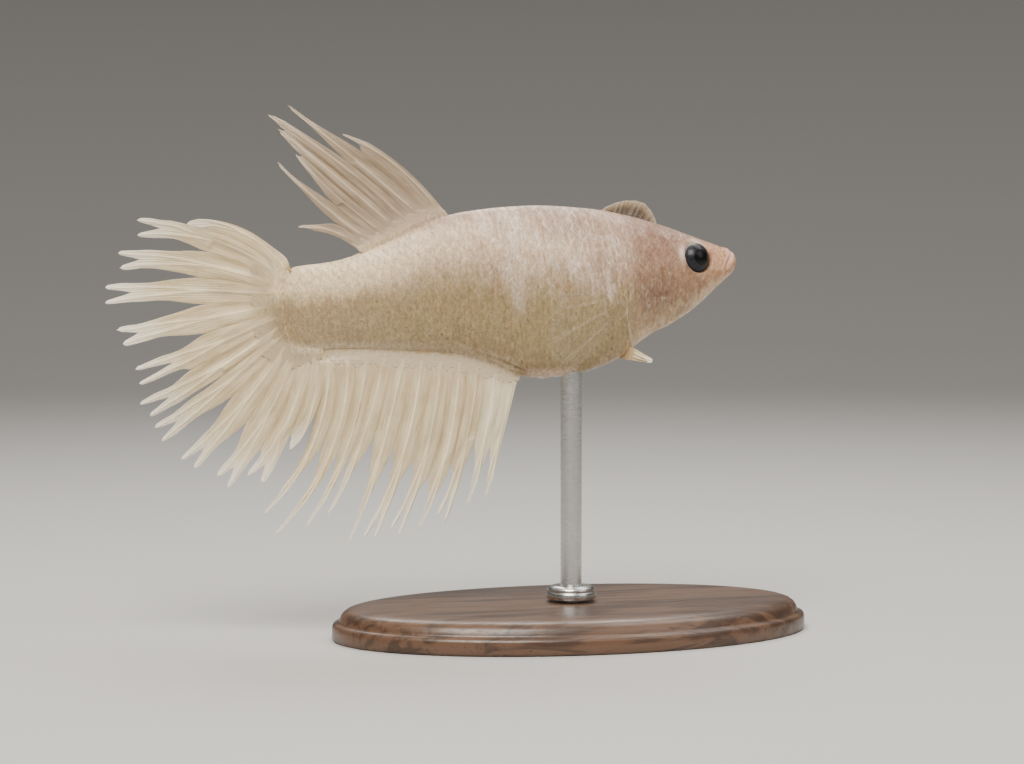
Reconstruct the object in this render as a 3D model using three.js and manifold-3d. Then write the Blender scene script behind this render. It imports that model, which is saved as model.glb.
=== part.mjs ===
import * as THREE from 'three';
import { mergeVertices } from 'three/addons/utils/BufferGeometryUtils.js';
import Module from 'manifold-3d';

// A crowntail betta (Betta splendens) at life size, held over a flat display stand by one rod.
// Millimetres and degrees. The fish is shaped straight, in its own frame, and then posed:
//   s  forward along the spine, 0 at the root of the tail fin, standardLength at the snout
//   w  sideways, to the fish's left
//   z  up from the spine
// In the posed model the snout points along +X and the underside of the stand is z = 0.

const wasm = await Module();
wasm.setup();
const degrees = Math.PI / 180;

// The whole fish
const standardLength = 42.7;
const partGap = 0.25;       // between neighbouring pieces
const jawGap = 0.3;
const finThickness = 0.55;

// The pose: nose slightly up, tail swung to the fish's left
const bodyPitch = 5;
const tailSwing = 20;
const swingStart = 18;      // the spine is straight ahead of this
const rodStation = 25.5;    // where the rod meets the belly
const bellyHeight = 24.2;   // above the floor, over the rod

// The stand
const base = { length: 46, width: 30, thickness: 3, bevel: 0.6, segments: 48 };
const rod = { radius: 1, embed: 1.8, baseEmbed: 1.6, segments: 20 };
const collar = { radius: 2.3, height: 1.3, bevel: 0.4, segments: 28 };

// The trunk and head, section by section: height of the back and the belly, and half the width
const sections = [
  { s: -1.0, back: 3.35, belly: -3.45, half: 0.5 },
  { s: 0.0, back: 3.8, belly: -3.95, half: 0.66 },
  { s: 4.0, back: 4.06, belly: -4.15, half: 1.08 },
  { s: 8.0, back: 5.08, belly: -4.6, half: 1.58 },
  { s: 12.0, back: 6.5, belly: -5.15, half: 2.1 },
  { s: 15.0, back: 7.32, belly: -5.75, half: 2.5 },
  { s: 18.0, back: 7.52, belly: -6.95, half: 2.85 },
  { s: 20.5, back: 7.52, belly: -8.35, half: 3.1 },
  { s: 23.5, back: 7.36, belly: -8.88, half: 3.35 },
  { s: 27.0, back: 6.86, belly: -8.72, half: 3.55 },
  { s: 30.0, back: 6.26, belly: -7.9, half: 3.6 },
  { s: 33.0, back: 5.34, belly: -6.2, half: 3.45 },
  { s: 36.0, back: 4.2, belly: -5.1, half: 3.1 },
  { s: 38.5, back: 3.08, belly: -3.75, half: 2.66 },
  { s: 40.5, back: 2.18, belly: -2.3, half: 2.16 },
  { s: 42.0, back: 1.54, belly: -1.25, half: 1.75 },
  { s: 42.7, back: 1.36, belly: -0.85, half: 1.6 },
];
const sectionPower = { above: 1.08, below: 0.98 };   // how full a section is above and below its middle
const snoutRounding = 0.65;   // length of the rounded end of the snout
const stalkRounding = 1.0;    // length of the rounded end of the tail stalk
const farSide = 6;            // out past the widest section
const ringSides = 24;
const ringSpacing = 1.25;
const endAngles = [25, 48, 66, 80];   // rings along each rounded end

// Where the body is parted, as [s, z] in side view
const stalkCut = 13;
const gillEdge = [[31.8, 9], [30.9, 3.8], [30.3, 0.5], [30.2, -2.5], [30.5, -5.2], [33.4, -10]];
const gillCover = {
  thickness: 0.8,
  innermost: 1.2,   // how near the middle of the fish a cover's region reaches
  past: 1,          // how far back its region reaches over the gill edge
  outline: [[33.6, 3.4], [35.2, 1.6], [35.4, -1.4], [34.6, -3.9], [32.6, -5.2]],
};
const mouthCut = [[43.4, 2.5], [42.35, 1.3], [41.5, 0.35], [40.7, -0.5], [38.9, -2.3], [36.9, -6], [43.6, -6]];
const eye = { s: 38.15, z: 0.9, w: 1.6, radius: 1.5, depth: 1.2, forward: 16, upward: 8 };

// The fins. A ray runs from its root to its tip, bowed sideways by a share of its length. The web
// joins it to the next ray as far as the share called web, and past fork it splits in two. The tips
// of a fork stand spread apart. A wave is a slow ripple across the rays, about its centre [s, z].
const webSize = {
  rows: 3,
  webLimit: 0.95,
  webPast: 0.04,     // how much further the web runs on beside a ray
  prongBend: 0.9,    // share of its spread that a prong has reached half way along
  shortProng: 0.97,  // length of a fork's second prong
};
const tailFin = {
  rootReach: 3.6,       // height of the highest root
  stalkReach: 4.3,      // half the height of the round end that they stand on
  rootLowest: -2.9,     // of the rays that stand on that end
  underStalk: [1.5, 0.6, -0.3],   // where the three lowest rays stand along the belly
  tips: [[-1.8, -12.9], [-5.3, -15.6], [-8.3, -15.6], [-11.4, -13.75], [-13.75, -10.65], [-14.8, -8.3],
    [-15.1, -5.1], [-16.5, -1.4], [-17.5, 2.55], [-16.05, 5.6], [-13.9, 8.5], [-9.4, 8.5]],
  bow: [0.09, 0.06, 0.04, 0.03, 0.02, 0.02, 0.01, -0.01, -0.03, -0.06, -0.09, -0.14],
  web: [0.68, 0.7, 0.56, 0.49, 0.46, 0.64, 0.49, 0.45, 0.47, 0.5, 0.66, 0],
  fork: [1, 0.86, 0.87, 0.85, 0.86, 0.83, 0.76, 0.88, 0.85, 0.87, 0.86, 1],
  size: { ...webSize, edge: 0.4, lobe: 0.8, prong: 0.34, tip: 0.22, spread: 0.62 },
  wave: { height: 0.7, turns: 2.5, centre: [0, 0], reach: 16.6 },
};
const analFin = {
  rootFront: 19.75,
  rootRear: 2.8,
  tips: [[16.2, -19.3], [14.3, -19.9], [11.6, -20.8], [9.3, -21.5], [7.1, -21.5], [4.7, -21.9],
    [2.9, -22.0], [1.2, -19.4], [-0.9, -20.3], [-4, -20.9], [-4.7, -18.8]],
  bow: [0.0, 0.03, 0.05, 0.06, 0.06, 0.05, 0.03, 0.04, 0.07, 0.11, 0.11],
  web: [0.53, 0.48, 0.6, 0.66, 0.55, 0.46, 0.43, 0.49, 0.46, 0.44, 0],
  forked: [2, 4, 5],
  fork: 0.84,
  size: { ...webSize, edge: 0.35, lobe: 0.6, prong: 0.26, tip: 0.18, spread: 0.42 },
  wave: { height: 0.6, turns: 2.2, centre: [10, -5], reach: 17 },
};
const dorsalFin = {
  rays: [
    { root: 6.5, tip: [0.8, 7.4], bow: -0.1, web: 0.36 },
    { root: 7.7, tip: [-0.6, 13.4], bow: 0.03, web: 0.45 },
    { root: 9.0, tip: [1.2, 14.0], bow: 0.03, web: 0.76 },
    { root: 10.1, tip: [-0.3, 16.4], bow: -0.01, web: 0.8 },
    { root: 11.2, tip: [-1.0, 17.8], bow: -0.03, web: 0.5 },
    { root: 12.5, tip: [0.8, 18.5], bow: -0.01, web: 0.6 },
    { root: 14.1, tip: [5.6, 15.5], bow: -0.065, web: 0 },
  ],
  size: { ...webSize, edge: 0.35, lobe: 0.28, tip: 0.18, spread: 0, rows: 4 },
  wave: { height: 0.5, turns: 1.5, centre: [10, 6], reach: 16 },
};

// Paired fins, each a fan of rays set on the body at root [s, w, z]. In side view it points at rise,
// measured up from straight ahead. It then leans outward about s and swings outward about z by splay.
const pectoralFin = {
  right: { root: [29.5, -4.05, -2.3], rise: 196, lean: 12, splay: 24 },
  left: { root: [30.2, 4.05, -1.7], rise: 50, lean: 6, splay: 0 },
  rays: 7,
  fan: 42,
  length: 9.7,
  roundness: 0.16,   // how much shorter the outermost rays are
  web: 0.955,
  rootHeight: 2.0,
  size: { ...webSize, webLimit: 0.965, webPast: 0.01, edge: 0.3, lobe: 0.42, tip: 0.3, spread: 0 },
};
const pelvicFin = {
  right: {
    root: [31.0, -1.5, -7.3],
    rise: -20,
    lean: 0,
    splay: 48,
    rays: 2,
    fan: -16,          // its rays meet in a point
    length: 2.4,
    roundness: 0,
  },
  left: {
    root: [30.4, 2.85, -7.35],
    rise: 184,
    lean: 0,
    splay: 1.5,
    rays: 3,
    fan: 12,
    length: 8.6,
    roundness: 0.16,
  },
  web: 0.86,
  rootHeight: 0.9,
  size: { ...webSize, edge: 0.28, lobe: 0.3, tip: 0.2, spread: 0 },
};

function poseFish(s, w, z) {
  const swing = tailSwing * degrees;
  const radius = swingStart / swing;
  const turn = THREE.MathUtils.clamp((swingStart - s) / radius, 0, swing);
  const straight = s - THREE.MathUtils.clamp(s, 0, swingStart);
  const along = swingStart - radius * Math.sin(turn) + w * Math.sin(turn) + straight * Math.cos(turn);
  const across = radius * (1 - Math.cos(turn)) + w * Math.cos(turn) - straight * Math.sin(turn);
  const pitch = bodyPitch * degrees;
  const ahead = along - rodStation;
  const above = z - between(rodStation, 'belly');
  return new THREE.Vector3(
    ahead * Math.cos(pitch) - above * Math.sin(pitch),
    across,
    bellyHeight + ahead * Math.sin(pitch) + above * Math.cos(pitch),
  );
}

// Moves a geometry from the fish's frame, with x = s and y = w, to its posed place.
function posed(geometry) {
  const position = geometry.attributes.position;
  for (let i = 0; i < position.count; i += 1) {
    const place = poseFish(position.getX(i), position.getY(i), position.getZ(i));
    position.setXYZ(i, place.x, place.y, place.z);
  }
  geometry.computeVertexNormals();
  return geometry;
}

function geometryFrom(points, faces) {
  const geometry = new THREE.BufferGeometry();
  const numbers = points.flatMap((p) => [p.x, p.y, p.z]);
  geometry.setAttribute('position', new THREE.Float32BufferAttribute(numbers, 3));
  geometry.setIndex(faces.flat());
  geometry.computeVertexNormals();
  return geometry;
}

function solidOf(geometry) {
  const bare = geometry.clone();
  bare.deleteAttribute('normal');
  bare.deleteAttribute('uv');
  const merged = mergeVertices(bare, 1e-4);
  const vertProperties = new Float32Array(merged.attributes.position.array);
  const triVerts = new Uint32Array(merged.index.array);
  return new wasm.Manifold(new wasm.Mesh({ numProp: 3, vertProperties, triVerts }));
}

function geometryOf(solid) {
  const mesh = solid.getMesh();
  const geometry = new THREE.BufferGeometry();
  geometry.setAttribute('position', new THREE.Float32BufferAttribute(mesh.vertProperties, 3));
  geometry.setIndex(Array.from(mesh.triVerts));
  geometry.computeVertexNormals();
  return geometry;
}

// A closed skin over rings of points, with a fan at each end.
function loft(rings) {
  const sides = rings[0].length;
  const points = rings.flat();
  const faces = [];
  for (let r = 0; r + 1 < rings.length; r += 1) {
    for (let k = 0; k < sides; k += 1) {
      const a = r * sides + k;
      const b = r * sides + ((k + 1) % sides);
      faces.push([a, b + sides, b], [a, a + sides, b + sides]);
    }
  }
  const last = (rings.length - 1) * sides;
  const tailEnd = points.push(centreOf(rings[0])) - 1;
  const noseEnd = points.push(centreOf(rings[rings.length - 1])) - 1;
  for (let k = 0; k < sides; k += 1) {
    const next = (k + 1) % sides;
    faces.push([tailEnd, k, next], [noseEnd, last + next, last + k]);
  }
  return geometryFrom(points, faces);
}

function centreOf(ring) {
  const sum = ring.reduce((total, p) => total.add(p), new THREE.Vector3());
  return sum.divideScalar(ring.length);
}

// A plate with an outline drawn in side view, reaching across from w = near to w = far.
function sidePlate(outline, near, far) {
  const shape = new THREE.Shape(outline.map(([s, z]) => new THREE.Vector2(s, z)));
  const geometry = new THREE.ExtrudeGeometry(shape, { depth: far - near, bevelEnabled: false });
  geometry.rotateX(Math.PI / 2);
  geometry.translate(0, far, 0);
  return geometry;
}

// Pushes each corner of an outline away from the middle of the outline.
function grown(outline, distance) {
  const middle = new THREE.Vector2();
  outline.forEach(([s, z]) => middle.add(new THREE.Vector2(s, z)));
  middle.divideScalar(outline.length);
  return outline.map(([s, z]) => {
    const corner = new THREE.Vector2(s, z);
    const away = corner.clone().sub(middle).normalize();
    corner.addScaledVector(away, distance);
    return [corner.x, corner.y];
  });
}

// Smooth values between the sections: a Catmull-Rom curve on uneven stations.
function between(s, key) {
  const last = sections.length - 1;
  const slope = (j) => {
    const before = sections[Math.max(j - 1, 0)];
    const after = sections[Math.min(j + 1, last)];
    return (after[key] - before[key]) / (after.s - before.s);
  };
  let i = 0;
  while (i < last - 1 && s > sections[i + 1].s) i += 1;
  const span = sections[i + 1].s - sections[i].s;
  const rise = sections[i + 1][key] - sections[i][key];
  const t = (s - sections[i].s) / span;
  const early = (slope(i) * span - rise) * (1 - t);
  const late = (rise - slope(i + 1) * span) * t;
  return sections[i][key] + rise * t + t * (1 - t) * (early + late);
}

// How much of a section is left where the snout and the end of the tail stalk round off.
function endRounding(s) {
  const intoSnout = (s - standardLength + snoutRounding) / snoutRounding;
  const intoStalk = (sections[0].s + stalkRounding - s) / stalkRounding;
  return Math.sqrt(Math.max(0, 1 - Math.max(intoSnout, intoStalk, 0) ** 2));
}

// One ring of the body, drawn in all round by inset.
function bodyRing(s, inset) {
  const left = endRounding(s);
  const back = between(s, 'back');
  const belly = between(s, 'belly');
  const middle = (back + belly) / 2;
  const up = (back - middle) * left - inset;
  const down = (middle - belly) * left - inset;
  const half = between(s, 'half') * Math.sqrt(left) - inset;
  const ring = [];
  for (let k = 0; k < ringSides; k += 1) {
    const angle = (2 * Math.PI * k) / ringSides;
    const rise = Math.cos(angle);
    const out = Math.sin(angle);
    const power = rise > 0 ? sectionPower.above : sectionPower.below;
    const side = Math.sign(out) * Math.abs(out) ** power;
    ring.push(new THREE.Vector3(s, half * side, middle + (rise > 0 ? up : down) * rise));
  }
  return ring;
}

// Stations of the rings between two sections, closer together on the rounded ends.
function stationsBetween(from, to) {
  const stations = [];
  const stalkEnd = sections[0].s;
  if (from <= stalkEnd) {
    [...endAngles].reverse().forEach((a) => {
      stations.push(stalkEnd + stalkRounding * (1 - Math.sin(a * degrees)));
    });
  }
  const first = Math.max(from, stalkEnd + stalkRounding);
  const last = Math.min(to, standardLength - snoutRounding);
  const count = Math.round((last - first) / ringSpacing);
  for (let i = 0; i <= count; i += 1) stations.push(THREE.MathUtils.lerp(first, last, i / count));
  if (to >= standardLength) {
    endAngles.forEach((a) => {
      stations.push(standardLength - snoutRounding * (1 - Math.sin(a * degrees)));
    });
  }
  return stations;
}

function bodySolid(from, to, inset = 0) {
  return solidOf(loft(stationsBetween(from, to).map((s) => bodyRing(s, inset))));
}

// A flattened ball, looking outward, a little forward and up, and larger all round by extra.
function eyeball(side, extra) {
  const geometry = new THREE.SphereGeometry(eye.radius + extra, 16, 11);
  geometry.scale(1, (eye.depth + extra) / (eye.radius + extra), 1);
  geometry.rotateX(side * eye.upward * degrees);
  geometry.rotateZ(-side * eye.forward * degrees);
  geometry.translate(eye.s, side * eye.w, eye.z);
  return geometry;
}

function backAt(s) {
  return new THREE.Vector2(s, between(s, 'back') + partGap);
}

function bellyAt(s) {
  return new THREE.Vector2(s, between(s, 'belly') - partGap);
}

// Square to the way from one point to another, turned left.
function leftOf(from, to) {
  const way = to.clone().sub(from).normalize();
  return new THREE.Vector2(-way.y, way.x);
}

function rayPoint(ray, u) {
  const length = ray.root.distanceTo(ray.tip);
  const knee = ray.root.clone().lerp(ray.tip, 0.5);
  knee.addScaledVector(leftOf(ray.root, ray.tip), 2 * ray.bow * length);
  const inner = ray.root.clone().lerp(knee, u);
  const outer = knee.clone().lerp(ray.tip, u);
  return inner.lerp(outer, u);
}

function besideRay(ray, u, offset) {
  const ahead = rayPoint(ray, u + 0.01);
  const behind = rayPoint(ray, u - 0.01);
  return rayPoint(ray, u).addScaledVector(leftOf(behind, ahead), offset);
}

// A fin as flat sheets of triangles: the web as a grid of columns, ray by ray, and past it one
// tapering lobe for each ray, forked or plain. Seen along a ray, the next ray is on its right.
class FinSheet {
  constructor(rays, size) {
    this.points = [];
    this.sheets = [[]];
    this.size = size;
    const last = rays.length - 1;
    const webEnd = rays.map((ray, i) => {
      const before = i > 0 ? rays[i - 1].web : ray.web;
      const after = i < last ? ray.web : before;
      const limit = ray.fork < 1 ? ray.fork - size.webPast : size.webLimit;
      return Math.min(limit, Math.max(before, after) + size.webPast);
    });
    const columns = [this.column((u) => besideRay(rays[0], u, size.edge), webEnd[0])];
    rays.forEach((ray, i) => {
      columns.push(this.column((u) => rayPoint(ray, u), webEnd[i]));
      if (i < last) {
        const middle = (u) => rayPoint(ray, u).lerp(rayPoint(rays[i + 1], u), 0.5);
        columns.push(this.column(middle, ray.web));
      }
    });
    columns.push(this.column((u) => besideRay(rays[last], u, -size.edge), webEnd[last]));
    for (let c = 0; c + 1 < columns.length; c += 1) this.rungs(columns[c + 1], columns[c]);
    rays.forEach((ray, i) => {
      this.sheets.push([]);
      const edgeRow = columns.slice(2 * i, 2 * i + 3).map((column) => column.at(-1));
      this.lobe(ray, webEnd[i], edgeRow);
    });
  }

  add(point) {
    return this.points.push(point) - 1;
  }

  column(place, end) {
    const column = [];
    const { rows } = this.size;
    for (let j = 0; j <= rows; j += 1) column.push(this.add(place((end * j) / rows)));
    return column;
  }

  // Joins two rows of equal count, in the newest sheet.
  rungs(row, next) {
    for (let k = 0; k + 1 < row.length; k += 1) {
      this.sheets.at(-1).push([row[k], next[k], next[k + 1]], [row[k], next[k + 1], row[k + 1]]);
    }
  }

  // A row of points across a ray, from left to right.
  across(ray, u, centre, half, count) {
    const row = [];
    for (let k = 0; k < count; k += 1) {
      row.push(this.add(besideRay(ray, u, centre + half * (1 - (2 * k) / (count - 1)))));
    }
    return row;
  }

  lobe(ray, from, edgeRow) {
    const { lobe, prong, tip, spread, prongBend, shortProng } = this.size;
    const forked = ray.fork < 1;
    const stem = forked ? ray.fork : 1;
    let row = edgeRow;
    [0.5, 1].forEach((share) => {
      const u = THREE.MathUtils.lerp(from, stem, share);
      const half = forked ? lobe : THREE.MathUtils.lerp(lobe, tip, (u - from) / (1 - from));
      const next = this.across(ray, u, 0, half, 3);
      this.rungs(row, next);
      row = next;
    });
    if (!forked) return;
    [1, -1].forEach((side) => {
      const start = side > 0 ? row.slice(0, 2) : row.slice(1, 3);
      const middle = this.across(ray, (1 + stem) / 2, side * spread * prongBend, prong, 2);
      const end = this.across(ray, side > 0 ? 1 : shortProng, side * spread, tip, 2);
      this.rungs(start, middle);
      this.rungs(middle, end);
    });
  }

  // The web and the lobes as closed plates, x = s and z = z, with their middles at y = wave(point).
  plates(thickness, wave) {
    const count = this.points.length;
    const points = [1, -1].flatMap((side) => this.points.map((p) => (
      new THREE.Vector3(p.x, wave(p) + (side * thickness) / 2, p.y)
    )));
    return this.sheets.map((sheet) => {
      const borders = new Map();
      sheet.forEach((face) => face.forEach((a, k) => {
        const b = face[(k + 1) % 3];
        if (!borders.delete(`${b},${a}`)) borders.set(`${a},${b}`, [a, b]);
      }));
      const faces = sheet.flatMap(([a, b, c]) => [[a, b, c], [c + count, b + count, a + count]]);
      borders.forEach(([a, b]) => faces.push([b, a, a + count], [b, a + count, b + count]));
      return geometryFrom(points, faces);
    });
  }
}

function finGeometry(rays, size, wave) {
  const plates = new FinSheet(rays, size).plates(finThickness, wave);
  return geometryOf(plates.map(solidOf).reduce((fin, lobe) => fin.add(lobe)));
}

// A slow ripple across the rays that grows towards their tips.
function ripple(wave) {
  const centre = new THREE.Vector2(...wave.centre);
  return (p) => {
    const away = p.clone().sub(centre);
    const share = Math.min(1, away.length() / wave.reach);
    return wave.height * share ** 2 * Math.sin(wave.turns * Math.atan2(away.y, away.x) * 2);
  };
}

function tailRoot(i) {
  const under = tailFin.underStalk[i];
  if (under !== undefined) return bellyAt(under);
  const first = tailFin.underStalk.length;
  const share = (i - first) / (tailFin.tips.length - 1 - first);
  const height = THREE.MathUtils.lerp(tailFin.rootLowest, tailFin.rootReach, share);
  const stalkEnd = (partGap - sections[0].s) * Math.sqrt(1 - (height / tailFin.stalkReach) ** 2);
  return new THREE.Vector2(-stalkEnd, height);
}

function tailFinGeometry() {
  const rays = tailFin.tips.map((tip, i) => ({
    root: tailRoot(i),
    tip: new THREE.Vector2(...tip),
    bow: tailFin.bow[i],
    web: tailFin.web[i],
    fork: tailFin.fork[i],
  }));
  return finGeometry(rays, tailFin.size, ripple(tailFin.wave));
}

function analFinGeometry() {
  const rays = analFin.tips.map((tip, i) => {
    const share = i / (analFin.tips.length - 1);
    return {
      root: bellyAt(THREE.MathUtils.lerp(analFin.rootFront, analFin.rootRear, share)),
      tip: new THREE.Vector2(...tip),
      bow: analFin.bow[i],
      web: analFin.web[i],
      fork: analFin.forked.includes(i) ? analFin.fork : 1,
    };
  });
  return finGeometry(rays, analFin.size, ripple(analFin.wave));
}

function dorsalFinGeometry() {
  const rays = dorsalFin.rays.map((ray) => ({
    root: backAt(ray.root),
    tip: new THREE.Vector2(...ray.tip),
    bow: ray.bow,
    web: ray.web,
    fork: 1,
  }));
  return finGeometry(rays, dorsalFin.size, ripple(dorsalFin.wave));
}

// A flat rounded fan along +x, set on the body: side is 1 on the fish's left and -1 on its right.
function pairedFinGeometry(fin, place, side) {
  const shape = { ...fin, ...place };
  const rays = [];
  for (let i = 0; i < shape.rays; i += 1) {
    const share = THREE.MathUtils.lerp(1, -1, i / (shape.rays - 1));
    const angle = share * (shape.fan / 2) * degrees;
    const length = shape.length * (1 - shape.roundness * Math.abs(share));
    const root = new THREE.Vector2(0, (share * shape.rootHeight) / 2);
    const tip = new THREE.Vector2(Math.cos(angle), Math.sin(angle)).multiplyScalar(length).add(root);
    rays.push({ root, tip, bow: 0, web: shape.web, fork: 1 });
  }
  const geometry = finGeometry(rays, shape.size, () => 0);
  const pointsAhead = Math.cos(place.rise * degrees) > 0;
  geometry.rotateY(-place.rise * degrees);
  geometry.rotateX(-side * place.lean * degrees);
  geometry.rotateZ(side * place.splay * (pointsAhead ? 1 : -1) * degrees);
  geometry.translate(...place.root);
  return geometry;
}

function upright(geometry, height) {
  geometry.rotateX(Math.PI / 2);
  geometry.translate(0, 0, height);
  return geometry;
}

// The rod goes up into the belly and down into the base, each time in a hole with a little play.
function rodGeometry(play) {
  const bottom = base.thickness - rod.baseEmbed - play;
  const top = bellyHeight + rod.embed + play;
  const radius = rod.radius + play;
  const geometry = new THREE.CylinderGeometry(radius, radius, top - bottom, rod.segments);
  return upright(geometry, (top + bottom) / 2);
}

function baseGeometry() {
  const radius = base.length / 2;
  const profile = [
    [0, 0],
    [radius, 0],
    [radius, base.thickness - base.bevel],
    [radius - base.bevel, base.thickness],
    [0, base.thickness],
  ];
  const geometry = new THREE.LatheGeometry(profile.map((p) => new THREE.Vector2(...p)), base.segments);
  upright(geometry, 0);
  geometry.scale(1, base.width / base.length, 1);
  return geometry;
}

function collarGeometry() {
  const inner = rod.radius + partGap;
  const profile = [
    [inner, 0],
    [collar.radius, 0],
    [collar.radius, collar.height - collar.bevel],
    [collar.radius - collar.bevel, collar.height],
    [inner, collar.height],
    [inner, 0],
  ];
  const geometry = new THREE.LatheGeometry(profile.map((p) => new THREE.Vector2(...p)), collar.segments);
  return upright(geometry, base.thickness + partGap);
}

function bodyPieces() {
  const ahead = [...gillEdge, [standardLength + 5, -10], [standardLength + 5, 9]];
  const front = solidOf(sidePlate(ahead, -farSide, farSide));
  const aheadOfGap = ahead.map(([s, z], i) => [i < gillEdge.length ? s - partGap : s, z]);
  const frontAndGap = solidOf(sidePlate(aheadOfGap, -farSide, farSide));
  const jawRegion = solidOf(sidePlate(mouthCut, -farSide, farSide));
  const jawAndGap = solidOf(sidePlate(grown(mouthCut, jawGap), -farSide, farSide));

  const forward = bodySolid(stalkCut + partGap / 2, standardLength);
  const core = bodySolid(stalkCut + partGap / 2, standardLength, gillCover.thickness);
  const deepCore = bodySolid(stalkCut + partGap / 2, standardLength, gillCover.thickness + partGap);

  let skull = forward.intersect(front);
  const jaw = skull.intersect(jawRegion);
  skull = skull.subtract(jawAndGap);
  const covers = {};
  const eyes = {};
  [['right', -1], ['left', 1]].forEach(([name, side]) => {
    const near = side > 0 ? gillCover.innermost : -farSide;
    const far = side > 0 ? farSide : -gillCover.innermost;
    const behind = gillEdge.slice(1, 5).reverse().map(([s, z]) => [s - gillCover.past, z]);
    const outline = [...gillCover.outline, ...behind];
    const region = solidOf(sidePlate(outline, near, far));
    const regionAndGap = solidOf(sidePlate(grown(outline, partGap), near, far));
    covers[name] = forward.intersect(front).intersect(region).subtract(core);
    skull = skull.subtract(regionAndGap.subtract(deepCore));
    skull = skull.subtract(solidOf(eyeball(side, partGap)));
    eyes[name] = posed(eyeball(side, 0));
  });
  const trunk = solidOf(posed(geometryOf(forward.subtract(frontAndGap))));
  return {
    head: posed(geometryOf(skull)),
    lower_jaw: posed(geometryOf(jaw)),
    gill_cover_right: posed(geometryOf(covers.right)),
    gill_cover_left: posed(geometryOf(covers.left)),
    trunk: geometryOf(trunk.subtract(solidOf(rodGeometry(partGap)))),
    tail_stalk: posed(geometryOf(bodySolid(sections[0].s, stalkCut - partGap / 2))),
    eye_right: eyes.right,
    eye_left: eyes.left,
  };
}

function finPieces() {
  return {
    tail_fin: posed(tailFinGeometry()),
    anal_fin: posed(analFinGeometry()),
    dorsal_fin: posed(dorsalFinGeometry()),
    pectoral_fin_right: posed(pairedFinGeometry(pectoralFin, pectoralFin.right, -1)),
    pectoral_fin_left: posed(pairedFinGeometry(pectoralFin, pectoralFin.left, 1)),
    pelvic_fin_right: posed(pairedFinGeometry(pelvicFin, pelvicFin.right, -1)),
    pelvic_fin_left: posed(pairedFinGeometry(pelvicFin, pelvicFin.left, 1)),
  };
}

function standPieces() {
  const plinth = solidOf(baseGeometry()).subtract(solidOf(rodGeometry(partGap)));
  return {
    stand_base: geometryOf(plinth),
    stand_collar: collarGeometry(),
    stand_rod: rodGeometry(0),
  };
}

const finishes = {
  head: { color: 0xd2aea0, roughness: 0.42 },
  lower_jaw: { color: 0xd8b9a6, roughness: 0.42 },
  gill_cover_right: { color: 0xd0a79b, roughness: 0.4 },
  gill_cover_left: { color: 0xd0a79b, roughness: 0.4 },
  trunk: { color: 0xd6c4bb, roughness: 0.38 },
  tail_stalk: { color: 0xd3c2ae, roughness: 0.4 },
  eye_right: { color: 0x0b0c10, roughness: 0.08 },
  eye_left: { color: 0x0b0c10, roughness: 0.08 },
  tail_fin: { color: 0xd9c8b1, roughness: 0.5 },
  anal_fin: { color: 0xd6c6ad, roughness: 0.5 },
  dorsal_fin: { color: 0xc7b8a2, roughness: 0.5 },
  pectoral_fin_right: { color: 0xdccfc0, roughness: 0.45 },
  pectoral_fin_left: { color: 0xdccfc0, roughness: 0.45 },
  pelvic_fin_right: { color: 0xe0d2c2, roughness: 0.45 },
  pelvic_fin_left: { color: 0xe0d2c2, roughness: 0.45 },
  stand_base: { color: 0x2c2018, roughness: 0.5 },
  stand_collar: { color: 0xb9b9b6, roughness: 0.3, metalness: 1 },
  stand_rod: { color: 0xb9b9b6, roughness: 0.3, metalness: 1 },
};

const model = new THREE.Group();
Object.entries({ ...bodyPieces(), ...finPieces(), ...standPieces() }).forEach(([name, geometry]) => {
  const mesh = new THREE.Mesh(geometry, new THREE.MeshStandardMaterial(finishes[name]));
  mesh.name = name;
  model.add(mesh);
});

export default model;
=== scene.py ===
import math
import bmesh
import bpy
import numpy as np
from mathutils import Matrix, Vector


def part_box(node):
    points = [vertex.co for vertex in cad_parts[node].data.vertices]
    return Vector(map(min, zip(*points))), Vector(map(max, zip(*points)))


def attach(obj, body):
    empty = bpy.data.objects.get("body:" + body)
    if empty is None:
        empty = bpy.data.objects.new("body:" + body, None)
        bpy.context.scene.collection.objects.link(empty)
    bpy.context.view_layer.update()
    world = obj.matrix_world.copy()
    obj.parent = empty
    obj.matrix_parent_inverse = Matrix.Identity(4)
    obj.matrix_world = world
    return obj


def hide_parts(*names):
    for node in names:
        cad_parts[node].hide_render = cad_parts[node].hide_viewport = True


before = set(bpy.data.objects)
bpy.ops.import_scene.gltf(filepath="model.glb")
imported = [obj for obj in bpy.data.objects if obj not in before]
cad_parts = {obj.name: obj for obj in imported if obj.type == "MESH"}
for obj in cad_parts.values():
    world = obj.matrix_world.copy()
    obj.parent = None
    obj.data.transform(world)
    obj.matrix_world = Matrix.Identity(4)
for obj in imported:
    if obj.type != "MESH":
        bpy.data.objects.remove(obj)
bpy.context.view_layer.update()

print("frame loaded, with", len(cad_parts), "nodes")

millimetre = 0.001

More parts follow.
